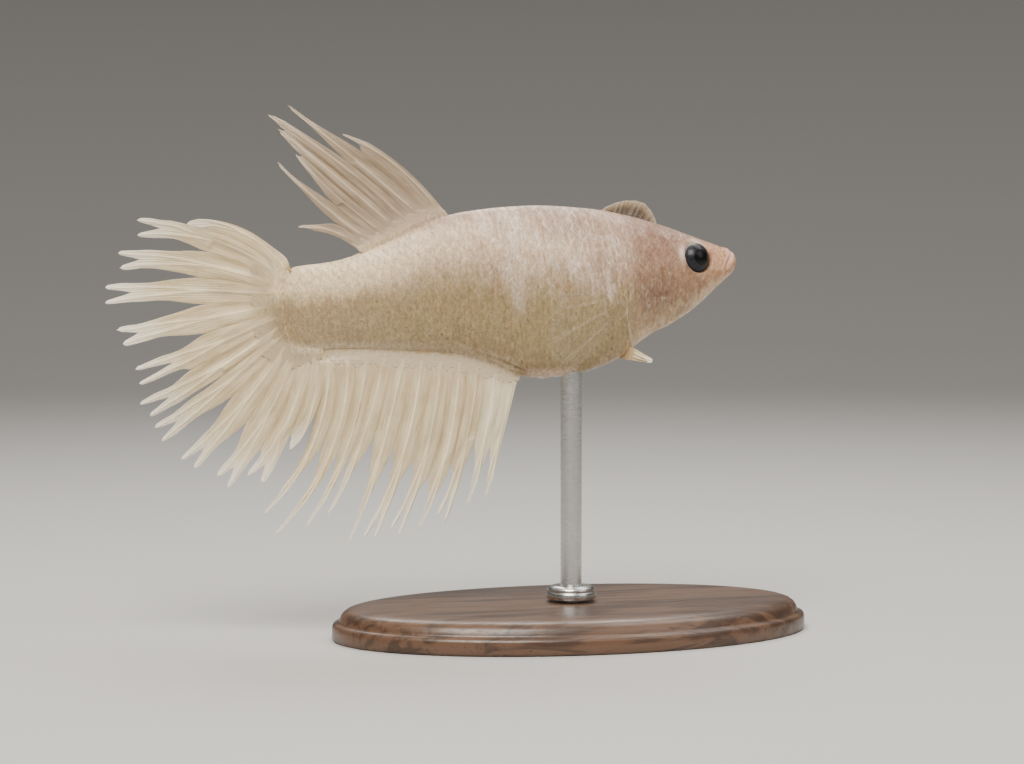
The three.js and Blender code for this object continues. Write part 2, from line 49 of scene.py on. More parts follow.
# The fish is shaped straight, in its own frame and in millimetres: s forward from the root of the
# tail fin, w to the fish's left, z up. poseFish then bends the tail and sets it over the stand.
fish = {
    "pitch": 5,             # snout up, in degrees
    "swing": 20,            # tail to the fish's left, in degrees
    "swingStart": 18,       # the spine is straight ahead of this
    "rodStation": 25.5,     # where the rod meets the belly
    "bellyHeight": 24.2,    # of the belly there, over the floor
    "snoutRounding": 0.65,
    "stalkRounding": 1.0,
    "bluntUpTo": 5,         # the tail stalk's end is rounded only in side view
    "stations": [-1, 0, 4, 8, 12, 15, 18, 20.5, 23.5, 27, 30, 33, 36, 38.5, 40.5, 42, 42.7],
    "back": [3.35, 3.8, 4.06, 5.08, 6.5, 7.32, 7.52, 7.52, 7.36, 6.86, 6.26, 5.34, 4.2, 3.08, 2.18,
             1.54, 1.36],
    "belly": [-3.45, -3.95, -4.15, -4.6, -5.15, -5.75, -6.95, -8.35, -8.88, -8.72, -7.9, -6.2, -5.1,
              -3.75, -2.3, -1.25, -0.85],
    "half": [0.5, 0.66, 1.08, 1.58, 2.1, 2.5, 2.85, 3.1, 3.35, 3.55, 3.6, 3.45, 3.1, 2.66, 2.16, 1.75,
             1.6],
}


def between(s, name):
    # smooth values between the sections
    stations, values = np.array(fish["stations"]), np.array(fish[name])
    slope = np.gradient(values, stations)
    slope[1:-1] = (values[2:] - values[:-2]) / (stations[2:] - stations[:-2])
    i = np.clip(np.searchsorted(stations, s, side="right") - 1, 0, len(stations) - 2)
    span = stations[i + 1] - stations[i]
    rise = values[i + 1] - values[i]
    t = (s - stations[i]) / span
    early = (slope[i] * span - rise) * (1 - t)
    late = (rise - slope[i + 1] * span) * t
    return values[i] + rise * t + t * (1 - t) * (early + late)


def poseFish(points):
    s, w, z = np.moveaxis(np.asarray(points, float), -1, 0)
    swing = math.radians(fish["swing"])
    radius = fish["swingStart"] / swing
    turn = np.clip((fish["swingStart"] - s) / radius, 0, swing)
    straight = s - np.clip(s, 0, fish["swingStart"])
    along = fish["swingStart"] - radius * np.sin(turn) + w * np.sin(turn) + straight * np.cos(turn)
    across = radius * (1 - np.cos(turn)) + w * np.cos(turn) - straight * np.sin(turn)
    pitch = math.radians(fish["pitch"])
    ahead = along - fish["rodStation"]
    above = z - between(np.array(fish["rodStation"]), "belly")
    x = ahead * math.cos(pitch) - above * math.sin(pitch)
    up = fish["bellyHeight"] + ahead * math.sin(pitch) + above * math.cos(pitch)
    return np.stack([x, across, up], axis=-1) * millimetre


eye = {
    "s": 38.15, "z": 0.9, "w": 1.6,
    "radius": 1.5, "depth": 1.2,
    "forward": 16, "upward": 8,       # where it looks, in degrees
}


def middleOf(*nodes):
    corners = np.array([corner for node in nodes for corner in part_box(node)])
    return (corners.min(0) + corners.max(0)) / 2


# the posed eyes are laid on the frame's own, and with them the whole fish
posedEyes = poseFish([[eye["s"], 0, eye["z"]]])[0]
anchor = middleOf("eye_right", "eye_left") - posedEyes


def intoRow(points):
    return poseFish(points) + anchor


def smoothStep(value, low, high):
    t = np.clip((value - low) / (high - low), 0, 1)
    return t * t * (3 - 2 * t)


def bell(value, width):
    return np.exp(-((value / width) ** 2))


def turnFrom(angle, middle):
    # the shorter way round, in degrees
    return (angle - middle + 180) % 360 - 180


def turnOutwards(piece):
    work = bmesh.new()
    work.from_mesh(piece.data)
    bmesh.ops.recalc_face_normals(work, faces=work.faces)
    work.to_mesh(piece.data)
    work.free()


def makePiece(name, points, faces, finish, nodes=(), marks=None, corners=None, strips=None):
    # points in metres; nodes are those that it replaces, marks values per point, corners the bake map's
    # places per face corner, and strips the numbers of the flat quads that join two sheets by their
    # first and third sides
    mesh = bpy.data.meshes.new(name)
    mesh.from_pydata(np.asarray(points).tolist(), [], [list(map(int, face)) for face in faces])
    for mark, values in (marks or {}).items():
        values = np.asarray(values, np.float32)
        kind, field = ("FLOAT_VECTOR", "vector") if values.ndim == 2 else ("FLOAT", "value")
        mesh.attributes.new(mark, kind, "POINT").data.foreach_set(field, values.ravel())
    if corners is not None:
        layer = mesh.uv_layers.new(name="OFBake")
        layer.data.foreach_set("uv", np.asarray(corners, np.float32).ravel())
    smooth = np.ones(len(mesh.polygons), bool)
    if strips is not None:
        smooth[strips] = False
        starts, edges = np.empty(len(mesh.polygons), np.int32), np.empty(len(mesh.loops), np.int32)
        mesh.polygons.foreach_get("loop_start", starts)
        mesh.loops.foreach_get("edge_index", edges)
        sharp = np.zeros(len(mesh.edges), bool)
        for side in (0, 2):
            sharp[edges[starts[strips] + side]] = True
        mesh.edges.foreach_set("use_edge_sharp", sharp)
    mesh.polygons.foreach_set("use_smooth", smooth)
    mesh.validate()
    mesh.materials.append(finish)
    piece = bpy.data.objects.new(name, mesh)
    bpy.context.scene.collection.objects.link(piece)
    turnOutwards(piece)
    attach(piece, "root")
    if nodes:
        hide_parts(*nodes)
    print(name, "made, with", len(mesh.polygons), "faces")
    return piece


def gridFaces(rows, columns, start=0, wrap=False):
    # quads over a grid of points laid row by row
    r, c = np.meshgrid(np.arange(rows - 1), np.arange(columns if wrap else columns - 1), indexing="ij")
    nextC = (c + 1) % columns
    a = start + r * columns + c
    b = start + r * columns + nextC
    return np.stack([a, b, b + columns, a + columns], axis=-1).reshape(-1, 4)


def closedRings(rows, columns):
    # quads from ring to ring, and triangles that close each end to one of the two points after them
    faces = gridFaces(rows, columns, wrap=True).tolist()
    count, last = rows * columns, (rows - 1) * columns
    faces += [[count, (k + 1) % columns, k] for k in range(columns)]
    faces += [[count + 1, last + k, last + (k + 1) % columns] for k in range(columns)]
    return faces


# finishes

class Finish:
    # one material, with short calls for the nodes that it needs
    def __init__(self, name):
        self.material = bpy.data.materials.new(name)
        self.material.use_nodes = True
        self.tree = self.material.node_tree
        self.tree.nodes.clear()
        self.output = self.tree.nodes.new("ShaderNodeOutputMaterial")

    def node(self, kind, **settings):
        made = self.tree.nodes.new("ShaderNode" + kind)
        for name, value in settings.items():
            setattr(made, name, value)
        return made

    def feed(self, socket, value):
        if isinstance(value, bpy.types.NodeSocket):
            self.tree.links.new(value, socket)
        elif socket.type == "RGBA" and len(value) == 3:
            socket.default_value = (*value, 1)
        else:
            socket.default_value = value

    def mark(self, name, output="Fac"):
        return self.node("Attribute", attribute_name=name).outputs[output]

    def maths(self, operation, first, second=0.0):
        made = self.node("Math", operation=operation)
        self.feed(made.inputs[0], first)
        self.feed(made.inputs[1], second)
        return made.outputs[0]

    def times(self, *values):
        result = values[0]
        for value in values[1:]:
            result = self.maths("MULTIPLY", result, value)
        return result

    def rise(self, value, low, high, start=0.0, end=1.0):
        # from start to end, smoothly, as value goes from low to high
        made = self.node("MapRange", interpolation_type="SMOOTHSTEP")
        self.feed(made.inputs["Value"], value)
        for name, number in (("From Min", low), ("From Max", high), ("To Min", start), ("To Max", end)):
            made.inputs[name].default_value = number
        return made.outputs["Result"]

    def band(self, value, low, high, soft):
        return self.times(self.rise(value, low - soft, low + soft),
                          self.rise(value, high - soft, high + soft, 1, 0))

    def split(self, vector):
        made = self.node("SeparateXYZ")
        self.feed(made.inputs[0], vector)
        return made.outputs

    def join(self, x, y, z):
        made = self.node("CombineXYZ")
        for socket, value in zip(made.inputs, (x, y, z)):
            self.feed(socket, value)
        return made.outputs[0]

    def stretched(self, vector, by):
        made = self.node("VectorMath", operation="MULTIPLY")
        self.feed(made.inputs[0], vector)
        self.feed(made.inputs[1], by)
        return made.outputs[0]

    def noise(self, vector, scale, detail=2.0, roughness=0.5, distortion=0.0):
        made = self.node("TexNoise")
        self.feed(made.inputs["Vector"], vector)
        for name, value in (("Scale", scale), ("Detail", detail), ("Roughness", roughness),
                            ("Distortion", distortion)):
            made.inputs[name].default_value = value
        return made.outputs["Fac"]

    def stretchedNoise(self, vector, stretch, *settings):
        return self.noise(self.stretched(vector, stretch), *settings)

    def cells(self, vector, scale):
        made = self.node("TexVoronoi", feature="F1")
        self.feed(made.inputs["Vector"], vector)
        made.inputs["Scale"].default_value = scale
        return made.outputs["Distance"]

    def ramp(self, value, stops):
        made = self.node("ValToRGB")
        self.feed(made.inputs[0], value)
        elements = made.color_ramp.elements
        while len(elements) < len(stops):
            elements.new(1.0)
        for element, (place, colour) in zip(elements, stops):
            element.position = place
            element.color = (*colour, 1)
        return made.outputs[0]

    def mix(self, amount, first, second, way="MIX"):
        made = self.node("Mix", data_type="RGBA", blend_type=way)
        self.feed(made.inputs[0], amount)
        self.feed(made.inputs[6], first)
        self.feed(made.inputs[7], second)
        return made.outputs[2]

    def bump(self, height, distance, strength=1.0, under=None):
        made = self.node("Bump")
        made.inputs["Strength"].default_value = strength
        made.inputs["Distance"].default_value = distance
        self.feed(made.inputs["Height"], height)
        if under is not None:
            self.feed(made.inputs["Normal"], under)
        return made.outputs[0]

    def shade(self, **values):
        shader = self.node("BsdfPrincipled")
        for name, value in values.items():
            self.feed(shader.inputs[name.replace("_", " ")], value)
        self.tree.links.new(shader.outputs[0], self.output.inputs[0])
        return self.material


markings = {
    # by height on the body, from belly to back: partly the fish's own colours, partly painted light and
    # shade, lighter on the back and along the belly's edge and darker on the lower flank
    "body": [(0.0, (0.64, 0.48, 0.28)), (0.06, (0.46, 0.34, 0.175)), (0.2, (0.39, 0.29, 0.13)),
             (0.45, (0.38, 0.275, 0.127)), (0.6, (0.52, 0.38, 0.225)), (0.76, (0.84, 0.62, 0.42)),
             (0.9, (0.76, 0.56, 0.39)), (1.0, (0.56, 0.4, 0.28))],
    # the head by height; its pale throat is partly painted light from below
    "head": [(0.0, (0.86, 0.66, 0.4)), (0.14, (0.52, 0.37, 0.215)), (0.4, (0.35, 0.218, 0.128)),
             (0.75, (0.39, 0.226, 0.145)), (1.0, (0.39, 0.232, 0.165))],
    "headFrom": (29.5, 32.5),
    "stalkLow": (0.41, 0.295, 0.15), "stalkHigh": (1.0, 0.79, 0.46),
    "stalkTurn": (0.5, 0.78), "stalkReach": (2, 15, 0.9, 0),
    "pearl": (0.9, 0.73, 0.61), "pearlShare": 0.62,
    "freckles": (0.36, 0.68, 0.72, 1.14),
    "tailBase": (0.54, 0.42, 0.25),
    "backFinBase": (0.47, 0.36, 0.24),
    "bellyFinBase": (0.67, 0.54, 0.355),
    # how far each noise is stretched along s, w and z, then its scale, detail, roughness, distortion
    "noises": {
        "drift": ((1, 1, 1), 0.32, 3),
        "fringe": ((1.6, 0.4, 0.35), 1.0, 3, 0.6),
        "mottle": ((1.1, 0.8, 0.8), 0.9, 5, 0.68, 0.6),
        "streaks": ((1.9, 0.4, 0.42), 1.0, 4, 0.62, 0.5),
        "patches": ((1.6, 0.6, 0.6), 0.8, 4, 0.65, 0.7),
        "clouds": ((0.5, 0.5, 0.6), 1.0, 3, 0.6),
        "freckles": ((1.3, 0.7, 0.7), 3.0, 4, 0.75),
        "dark": ((1, 1, 0.8), 3.0, 3, 0.7),
    },
    "waver": {"drift": 0.2, "fringe": 0.22},      # what makes the heights of the colours waver
}
# Colours that show in one place, in the order they are laid. Along and upward give a band in
# millimetres as its ends and how soft they are. Ahead, height, evenHeight and noise give a rise, as
# where it starts and ends and, where it isn't from 0 to 1, how strong it is there.
bodySpots = {
    "shoulder": {"tone": (0.52, 0.34, 0.235), "along": (26.6, 31.5, 1.8), "height": (0.42, 0.62),
                 "share": 0.8},
}
headSpots = {
    "snout": {"tone": (0.69, 0.4, 0.205), "ahead": (38, 41.5, 0, 0.75)},
    # painted light from below: the lower jaw paler
    "jaw": {"tone": (0.9, 0.66, 0.42), "ahead": (36, 39), "height": (0.12, 0.34, 0.7, 0)},
    "cheek": {"tone": (0.235, 0.135, 0.09), "along": (31.8, 35.0, 0.9), "upward": (-3.0, -0.8, 0.9),
              "share": 0.6},
    "mottle": {"tone": (0.7, 0.56, 0.5), "ahead": (30, 33), "noise": ("mottle", 0.45, 0.66, 0, 0.75),
               "blend": "MULTIPLY"},
    "flecks": {"tone": markings["pearl"], "ahead": (30, 33), "noise": ("mottle", 0.34, 0.46, 0.3, 0)},
    "keel": {"tone": (0.9, 0.68, 0.52), "along": (20.9, 25.4, 0.5),
             "evenHeight": (0.035, 0.075, 0.85, 0)},
    # painted light on the belly's underside ahead of the anal fin, lifting its shade towards the fin root's
    # colour
    "paintedLightOnBelly": {"tone": markings["bellyFinBase"], "ahead": (19.2, 20.8, 1, 0),
            "evenHeight": (0.02, 0.11, 0.75, 0)},
    # a pale upright band on the flank: a painted reflection of light
    "bar": {"tone": (0.8, 0.66, 0.52), "along": (19.2, 20.6, 0.45), "height": (0.3, 0.55), "share": 0.4},
}
pearlSpots = {
    "flank": {"along": (17, 28.5, 2.5), "height": (0.4, 0.74), "noise": ("streaks", 0.4, 0.7)},
    "gill": {"along": (27.5, 31.6, 1.0), "height": (0.3, 0.5), "noise": ("patches", 0.46, 0.7)},
}
lastSpots = {
    "ridge": {"tone": (0.47, 0.32, 0.235), "along": (21.5, 29.5, 2.0), "height": (0.7, 0.9), "share": 0.75},
    "rosy": {"tone": (1.0, 0.87, 0.85), "noise": ("clouds", 0.45, 0.68, 0, 0.45), "blend": "MULTIPLY"},
    "dim": {"tone": (0.72, 0.62, 0.54), "ahead": (6, 16), "noise": ("streaks", 0.32, 0.5, 0.55, 0),
            "blend": "MULTIPLY"},
    "dark": {"tone": (0.66, 0.52, 0.4), "noise": ("dark", 0.55, 0.74, 0, 0.5), "blend": "MULTIPLY"},
}


def bodyTone(finish):
    # the fish's markings, with painted light and shade, the same on the skin and on the scales: colour, and
    # how pearly it is
    place = finish.mark("fishPlace", "Vector")
    s, _, z = finish.split(place)
    noises = {name: finish.stretchedNoise(place, *settings)
              for name, settings in markings["noises"].items()}
    evenHeight = finish.mark("level")
    height = evenHeight
    for name, share in markings["waver"].items():
        waver = finish.times(finish.maths("SUBTRACT", noises[name], 0.5), share)
        height = finish.maths("ADD", height, waver)
    measures = {"along": (finish.band, s), "upward": (finish.band, z), "ahead": (finish.rise, s),
                "height": (finish.rise, height), "evenHeight": (finish.rise, evenHeight)}

    def strength(spot):
        parts = [shape(value, *spot[key]) for key, (shape, value) in measures.items() if key in spot]
        if "noise" in spot:
            name, *rest = spot["noise"]
            parts.append(finish.rise(noises[name], *rest))
        return finish.times(*parts, spot.get("share", 1.0))

    def painted(tone, spots):
        for spot in spots.values():
            tone = finish.mix(strength(spot), tone, spot["tone"], spot.get("blend", "MIX"))
        return tone

    tone = finish.ramp(height, markings["body"])
    stalkTone = finish.mix(finish.rise(height, *markings["stalkTurn"]), markings["stalkLow"],
                           markings["stalkHigh"])
    tone = finish.mix(finish.rise(s, *markings["stalkReach"]), tone, stalkTone)
    tone = painted(tone, bodySpots)
    tone = finish.mix(finish.rise(s, *markings["headFrom"]), tone, finish.ramp(height, markings["head"]))
    tone = painted(tone, headSpots)
    pearl = finish.maths("MAXIMUM", strength(pearlSpots["flank"]), strength(pearlSpots["gill"]))
    tone = finish.mix(finish.times(pearl, markings["pearlShare"]), tone, markings["pearl"])
    tone = painted(tone, lastSpots)
    tone = finish.mix(1.0, tone, finish.rise(noises["freckles"], *markings["freckles"]), "MULTIPLY")
    return tone, pearl, place


skinGloss = {
    # the skin's own shapes that show in another colour, and the painted shade of its creases, gill slit,
    # mouth, nostrils and eye sockets: how strongly, and which
    "shapes": {"lip": (0.55, (0.64, 0.4, 0.3)), "gillRim": (0.32, (0.84, 0.72, 0.6)),
               "pearlRim": (0.7, markings["pearl"]), "creamRim": (0.6, (0.86, 0.72, 0.52)),
               "creaseShade": (0.6, (0.3, 0.16, 0.11))},
    "fine": (9, 4, 0.6), "fineBump": (0.00005, 0.7),       # a bump is its height in metres and strength
    "lumps": (2.4, 4, 0.6), "lumpBump": (0.00014, 0.6),
    "pores": 2.6, "poreEdge": (0.02, 0.16), "poreBump": (0.00005, 0.6),
    "roughness": (0.3, 0.7, 0.36, 0.5),
    "shader": {"Subsurface_Weight": 0.18, "Subsurface_Radius": (1.0, 0.45, 0.3), "Subsurface_Scale": 0.0008,
               "Coat_Weight": 0.16, "Coat_Roughness": 0.2, "Specular_IOR_Level": 0.35},
}


def skinFinish():
    finish = Finish("fishSkin")
    tone, _, place = bodyTone(finish)
    # the skin's shapes in their colours, the last being painted shade in creases, slits, pits and sockets
    for name, (share, colour) in skinGloss["shapes"].items():
        tone = finish.mix(finish.times(finish.mark(name), share), tone, colour)
    fine = finish.noise(place, *skinGloss["fine"])
    lumps = finish.noise(place, *skinGloss["lumps"])
    pores = finish.rise(finish.cells(place, skinGloss["pores"]), *skinGloss["poreEdge"])
    bump = finish.bump(fine, *skinGloss["fineBump"])
    bump = finish.bump(lumps, *skinGloss["lumpBump"], bump)
    bump = finish.bump(pores, *skinGloss["poreBump"], bump)
    return finish.shade(Base_Color=tone, Roughness=finish.rise(fine, *skinGloss["roughness"]), Normal=bump,
                        **skinGloss["shader"])


scaleGloss = {
    "darkest": (0.6, 0.54, 0.48), "darkening": (0, 1, 0, 0.2),   # at random, scale by scale
    "rimIn": (0.6, 0.85), "rimOut": (0.9, 1.0, 1, 0.3),          # the pale band at the free edge
    "rimPearly": 0.6, "rimPlain": 0.06,                          # how strong it is
    "rings": 60.0, "ringBump": (0.000006, 0.4),
    "fine": (5, 4, 0.65), "fineBump": (0.00007, 0.7),
    "sheenPearly": 0.22, "sheenPlain": 0.06,
    "roughness": (0, 1, 0.3, 0.44),
    "shader": {"Subsurface_Weight": 0.1, "Subsurface_Radius": (1.0, 0.5, 0.35), "Subsurface_Scale": 0.0005,
               "Coat_Weight": 0.14, "Coat_Roughness": 0.2, "Specular_IOR_Level": 0.35},
}


def scaleFinish(name, onFinTone):
    finish = Finish(name)
    tone, pearl, place = bodyTone(finish)
    reach = finish.mark("reach")      # 0 at a scale's root, 1 at its free edge
    chance = finish.mark("chance")
    tone = finish.mix(finish.rise(chance, *scaleGloss["darkening"]), tone, scaleGloss["darkest"], "MULTIPLY")
    tone = finish.mix(finish.mark("onFin"), tone, onFinTone)
    strong = finish.maths("ADD", finish.times(pearl, scaleGloss["rimPearly"]), scaleGloss["rimPlain"])
    rim = finish.times(finish.rise(reach, *scaleGloss["rimIn"]), finish.rise(reach, *scaleGloss["rimOut"]),
                       strong)
    tone = finish.mix(rim, tone, markings["pearl"])
    rings = finish.maths("SINE", finish.times(reach, scaleGloss["rings"]))
    bump = finish.bump(rings, *scaleGloss["ringBump"])
    bump = finish.bump(finish.noise(place, *scaleGloss["fine"]), *scaleGloss["fineBump"], bump)
    sheen = finish.maths("ADD", finish.times(pearl, scaleGloss["sheenPearly"]), scaleGloss["sheenPlain"])
    return finish.shade(Base_Color=tone, Metallic=sheen, Normal=bump,
                        Roughness=finish.rise(chance, *scaleGloss["roughness"]), **scaleGloss["shader"])


finGloss = {
    # the noises: how fast they change along a ray and across it, and how they are made
    "streakPlace": (0.3, 3.2, 0.0), "streaks": (1.0, 5, 0.65, 0.3), "streakTurn": (0.25, 0.75, 0.15, 0.75),
    "blotchPlace": (0.45, 0.6, 4.0), "blotches": (1.0, 4, 0.6), "blotchTurn": (0.42, 0.7, 0, 0.5),
    "rayShare": 0.8, "rayEdge": (0.1, 0.8),
    # valley is painted shade in the grooves between the rays
    "valley": (0.25, 1.0), "valleyFrom": (0.5, 3), "valleyShare": 0.55,
    "tipFrom": 0.6, "tipShare": 0.8, "tipCoverFrom": (0.72, 0.98),
    "rootShare": 0.95, "start": (-0.1, 0.7, 0.9, 0),
    "front": (0.98, 0.9, 0.68), "frontBand": (7.6, 9.4, 0.5, 0), "frontFrom": (0.3, 1.5),
    "rootCover": (0.02, 0.2), "clearStreaks": (0.3, 0.7),
    "joint": 0.3, "jointBump": (0.000012, 0.6),            # length of a ray's joints
    "rib": 0.22, "ribBump": (0.000016, 0.6),               # width of the web's fine ribs
    "ribsFrom": (1.0, 5.0), "streakBump": (0.00008, 0.6),
    "roughness": (0.3, 0.7, 0.42, 0.58),
    "shader": {"Subsurface_Weight": 0.2, "Subsurface_Radius": (1.0, 0.7, 0.5), "Subsurface_Scale": 0.0006,
               "Coat_Weight": 0.05, "Coat_Roughness": 0.25, "Specular_IOR_Level": 0.3},
}


def finFinish(name, tones, clear, rootClear=0.0):
    # clear is how much the web lets through; the rays are solid
    finish = Finish(name)
    ray, out = finish.mark("ray"), finish.mark("out")
    along, off = finish.mark("alongRay"), finish.mark("offRay")

    def noise(place, kind):
        fast, across, layer = finGloss[place]
        where = finish.join(finish.times(along, fast), finish.times(off, across), layer)
        return finish.noise(where, *finGloss[kind])

    streaks, blotches = noise("streakPlace", "streaks"), noise("blotchPlace", "blotches")
    z = finish.split(finish.mark("fishPlace", "Vector"))[2]
    tone = finish.mix(finish.rise(streaks, *finGloss["streakTurn"]), tones["web"], tones["ray"])
    tone = finish.mix(finish.times(ray, finGloss["rayShare"]), tone, tones["ray"])
    # painted shade in the grooves between the rays, then darker blotches at random
    valley = finish.times(finish.rise(finish.mark("valley"), *finGloss["valley"]),
                          finish.rise(along, *finGloss["valleyFrom"]), finGloss["valleyShare"])
    for share in (valley, finish.rise(blotches, *finGloss["blotchTurn"])):
        tone = finish.mix(share, tone, tones["shade"], "MULTIPLY")
    tipFrom = tones.get("tipFrom", finGloss["tipFrom"])
    tone = finish.mix(finish.rise(out, tipFrom, 1.0, 0, finGloss["tipShare"]), tone, tones["tip"])
    rootHere = finish.times(finish.rise(along, 0.0, tones["rootReach"], finGloss["rootShare"], 0),
                            finish.band(z, *tones["rootBand"]))
    tone = finish.mix(rootHere, tone, tones["root"])
    tone = finish.mix(finish.rise(along, *finGloss["start"]), tone, tones["start"])
    front = finish.times(finish.rise(off, *finGloss["frontBand"]),
                         finish.rise(along, *finGloss["frontFrom"]), tones.get("frontShare", 0.0))
    tone = finish.mix(front, tone, finGloss["front"])
    streakCover = 1 - clear * (1 - tones["streakCover"])
    covers = [finish.times(finish.rise(ray, *finGloss["rayEdge"]), tones["rayCover"]),
              finish.rise(out, *finGloss["rootCover"], 1 - rootClear, 0),
              finish.rise(streaks, *finGloss["clearStreaks"], 1 - clear, streakCover),
              finish.rise(out, *finGloss["tipCoverFrom"], 0, tones["tipCover"])]
    alpha = covers[0]
    for cover in covers[1:]:
        alpha = finish.maths("MAXIMUM", alpha, cover)
    joints = finish.maths("SINE", finish.times(along, 2 * math.pi / finGloss["joint"]))
    ribs = finish.maths("SINE", finish.times(off, 2 * math.pi / finGloss["rib"]))
    onWeb = finish.rise(along, *finGloss["ribsFrom"])
    bump = finish.bump(finish.times(joints, ray), *finGloss["jointBump"])
    bump = finish.bump(finish.times(ribs, onWeb), *finGloss["ribBump"], bump)
    bump = finish.bump(finish.times(streaks, onWeb), *finGloss["streakBump"], bump)
    return finish.shade(Base_Color=tone, Roughness=finish.rise(streaks, *finGloss["roughness"]), Alpha=alpha,
                        Normal=bump, **finGloss["shader"])


eyeGloss = {
    # by share of the radius
    "lens": [(0.0, (0.002, 0.002, 0.003)), (0.52, (0.002, 0.002, 0.003)), (0.58, (0.008, 0.009, 0.013)),
             (0.86, (0.012, 0.014, 0.02)), (1.0, (0.02, 0.02, 0.03))],
    "threadPlace": (9.0, 2.5), "threads": (1.0, 4, 0.6),   # of the iris, round it and across it
    "thread": (0.035, 0.04, 0.06), "threadTurn": (0.45, 0.75, 0, 0.5), "threadFrom": (0.54, 0.62),
    "gold": (0.2, 0.15, 0.08), "goldBand": (0.54, 0.575, 0.012), "goldTurn": (0.3, 0.6, 0.025, 0.15),
    "silver": (0.5, 0.46, 0.5), "silverFrom": (0.93, 0.98),
    "brass": (0.16, 0.13, 0.1), "brassFrom": (0.72, 0.95, 0, 0.7),
    "roughness": (0.5, 0.95, 0.3, 0.4),
    "shader": {"Specular_IOR_Level": 0.2, "Coat_Weight": 0.12, "Coat_Roughness": 0.05},
}


def eyeFinish():
    finish = Finish("eyeGloss")
    ring, clock = finish.mark("ring"), finish.mark("clock")   # share of the radius, and turn about the axis
    fast, across = eyeGloss["threadPlace"]
    where = finish.join(finish.times(clock, fast), finish.times(ring, across), 0.0)
    threads = finish.noise(where, *eyeGloss["threads"])
    tone = finish.ramp(ring, eyeGloss["lens"])
    layers = {
        "thread": (finish.rise(threads, *eyeGloss["threadTurn"]),
                   finish.rise(ring, *eyeGloss["threadFrom"])),
        "gold": (finish.band(ring, *eyeGloss["goldBand"]), finish.rise(threads, *eyeGloss["goldTurn"])),
        "silver": (finish.rise(ring, *eyeGloss["silverFrom"]), finish.mark("silver")),
        "brass": (finish.rise(ring, *eyeGloss["brassFrom"]), finish.mark("brass")),
    }
    for name, shares in layers.items():
        tone = finish.mix(finish.times(*shares), tone, eyeGloss[name])
    return finish.shade(Base_Color=tone, Roughness=finish.rise(ring, *eyeGloss["roughness"]),
                        **eyeGloss["shader"])


standGloss = {
    # each noise as how far it is stretched, then its scale, detail, roughness and distortion
    "warp": ((30, 90, 90), 1.0, 3, 0.5), "grain": ((22, 420, 420), 1.0, 6, 0.62, 1.1),
    "pores": ((260, 5200, 5200), 1.0, 2, 0.5), "ringTurns": 17.0, "warpTurns": 14.0,
    "darkWood": (0.052, 0.026, 0.014), "lightWood": (0.115, 0.06, 0.033), "poreTone": (0.018, 0.01, 0.007),
    "poreShare": (0.6, 0.72, 0, 0.65), "poreBump": (0.00004, 0.35), "ringBump": (0.00001, 0.3),
    "woodRoughness": (0.4, 0.75, 0.34, 0.55), "woodCoat": 0.25, "woodCoatRoughness": 0.22,
    "brush": ((900, 900, 6000), 1.0, 3, 0.6), "smudge": ((300, 300, 300), 1.0, 3, 0.55),
    "brushTurn": (0.3, 0.7),
    "darkSteel": (0.56, 0.56, 0.55), "lightSteel": (0.62, 0.62, 0.61),
    "brushRoughness": (0.24, 0.3), "smudgeRoughness": (0.4, 0.7, 0, 0.06), "brushBump": (0.000006, 0.06),
}


def woodFinish():
    finish = Finish("darkWood")
    place = finish.node("TexCoord").outputs["Object"]
    warp = finish.stretchedNoise(place, *standGloss["warp"])
    rings = finish.stretchedNoise(place, *standGloss["grain"])
    pores = finish.stretchedNoise(place, *standGloss["pores"])
    figure = finish.maths("SINE", finish.maths("ADD", finish.times(rings, standGloss["ringTurns"]),
                                               finish.times(warp, standGloss["warpTurns"])))
    tone = finish.mix(finish.rise(figure, -1, 1), standGloss["darkWood"], standGloss["lightWood"])
    tone = finish.mix(finish.rise(pores, *standGloss["poreShare"]), tone, standGloss["poreTone"])
    bump = finish.bump(pores, *standGloss["poreBump"])
    bump = finish.bump(figure, *standGloss["ringBump"], bump)
    return finish.shade(Base_Color=tone, Roughness=finish.rise(pores, *standGloss["woodRoughness"]),
                        Coat_Weight=standGloss["woodCoat"], Coat_Roughness=standGloss["woodCoatRoughness"],
                        Normal=bump)


def steelFinish():
    finish = Finish("brushedSteel")
    place = finish.node("TexCoord").outputs["Object"]
    brush = finish.stretchedNoise(place, *standGloss["brush"])
    smudge = finish.stretchedNoise(place, *standGloss["smudge"])
    tone = finish.mix(finish.rise(brush, *standGloss["brushTurn"]), standGloss["darkSteel"],
                      standGloss["lightSteel"])
    rough = finish.maths("ADD", finish.rise(brush, *standGloss["brushTurn"], *standGloss["brushRoughness"]),
                         finish.rise(smudge, *standGloss["smudgeRoughness"]))
    bump = finish.bump(brush, *standGloss["brushBump"])
    return finish.shade(Base_Color=tone, Metallic=1.0, Roughness=rough, Normal=bump)


floorGloss = {
    "cloud": ((3, 3, 3), 1.0, 3, 0.5), "cloudTurn": (0.3, 0.7),
    "dark": (0.46, 0.45, 0.435), "light": (0.49, 0.48, 0.465),
    # far is painted shade: the floor darkens away from the stand, as the light falls off
    "far": (0.14, 0.137, 0.132), "farFrom": (0.05, 0.34),    # the floor darkens away from the stand
    "roughness": 0.8,
}


def floorFinish():
    finish = Finish("paleFloor")
    place = finish.node("TexCoord").outputs["Object"]
    cloud = finish.stretchedNoise(place, *floorGloss["cloud"])
    tone = finish.mix(finish.rise(cloud, *floorGloss["cloudTurn"]), floorGloss["dark"],
                      floorGloss["light"])
    # painted shade, darker away from the stand
    away = finish.node("VectorMath", operation="LENGTH")
    finish.feed(away.inputs[0], place)
    tone = finish.mix(finish.rise(away.outputs["Value"], *floorGloss["farFrom"]), tone, floorGloss["far"])
    return finish.shade(Base_Color=tone, Roughness=floorGloss["roughness"])


# the skin: one closed surface from the tail stalk to the snout

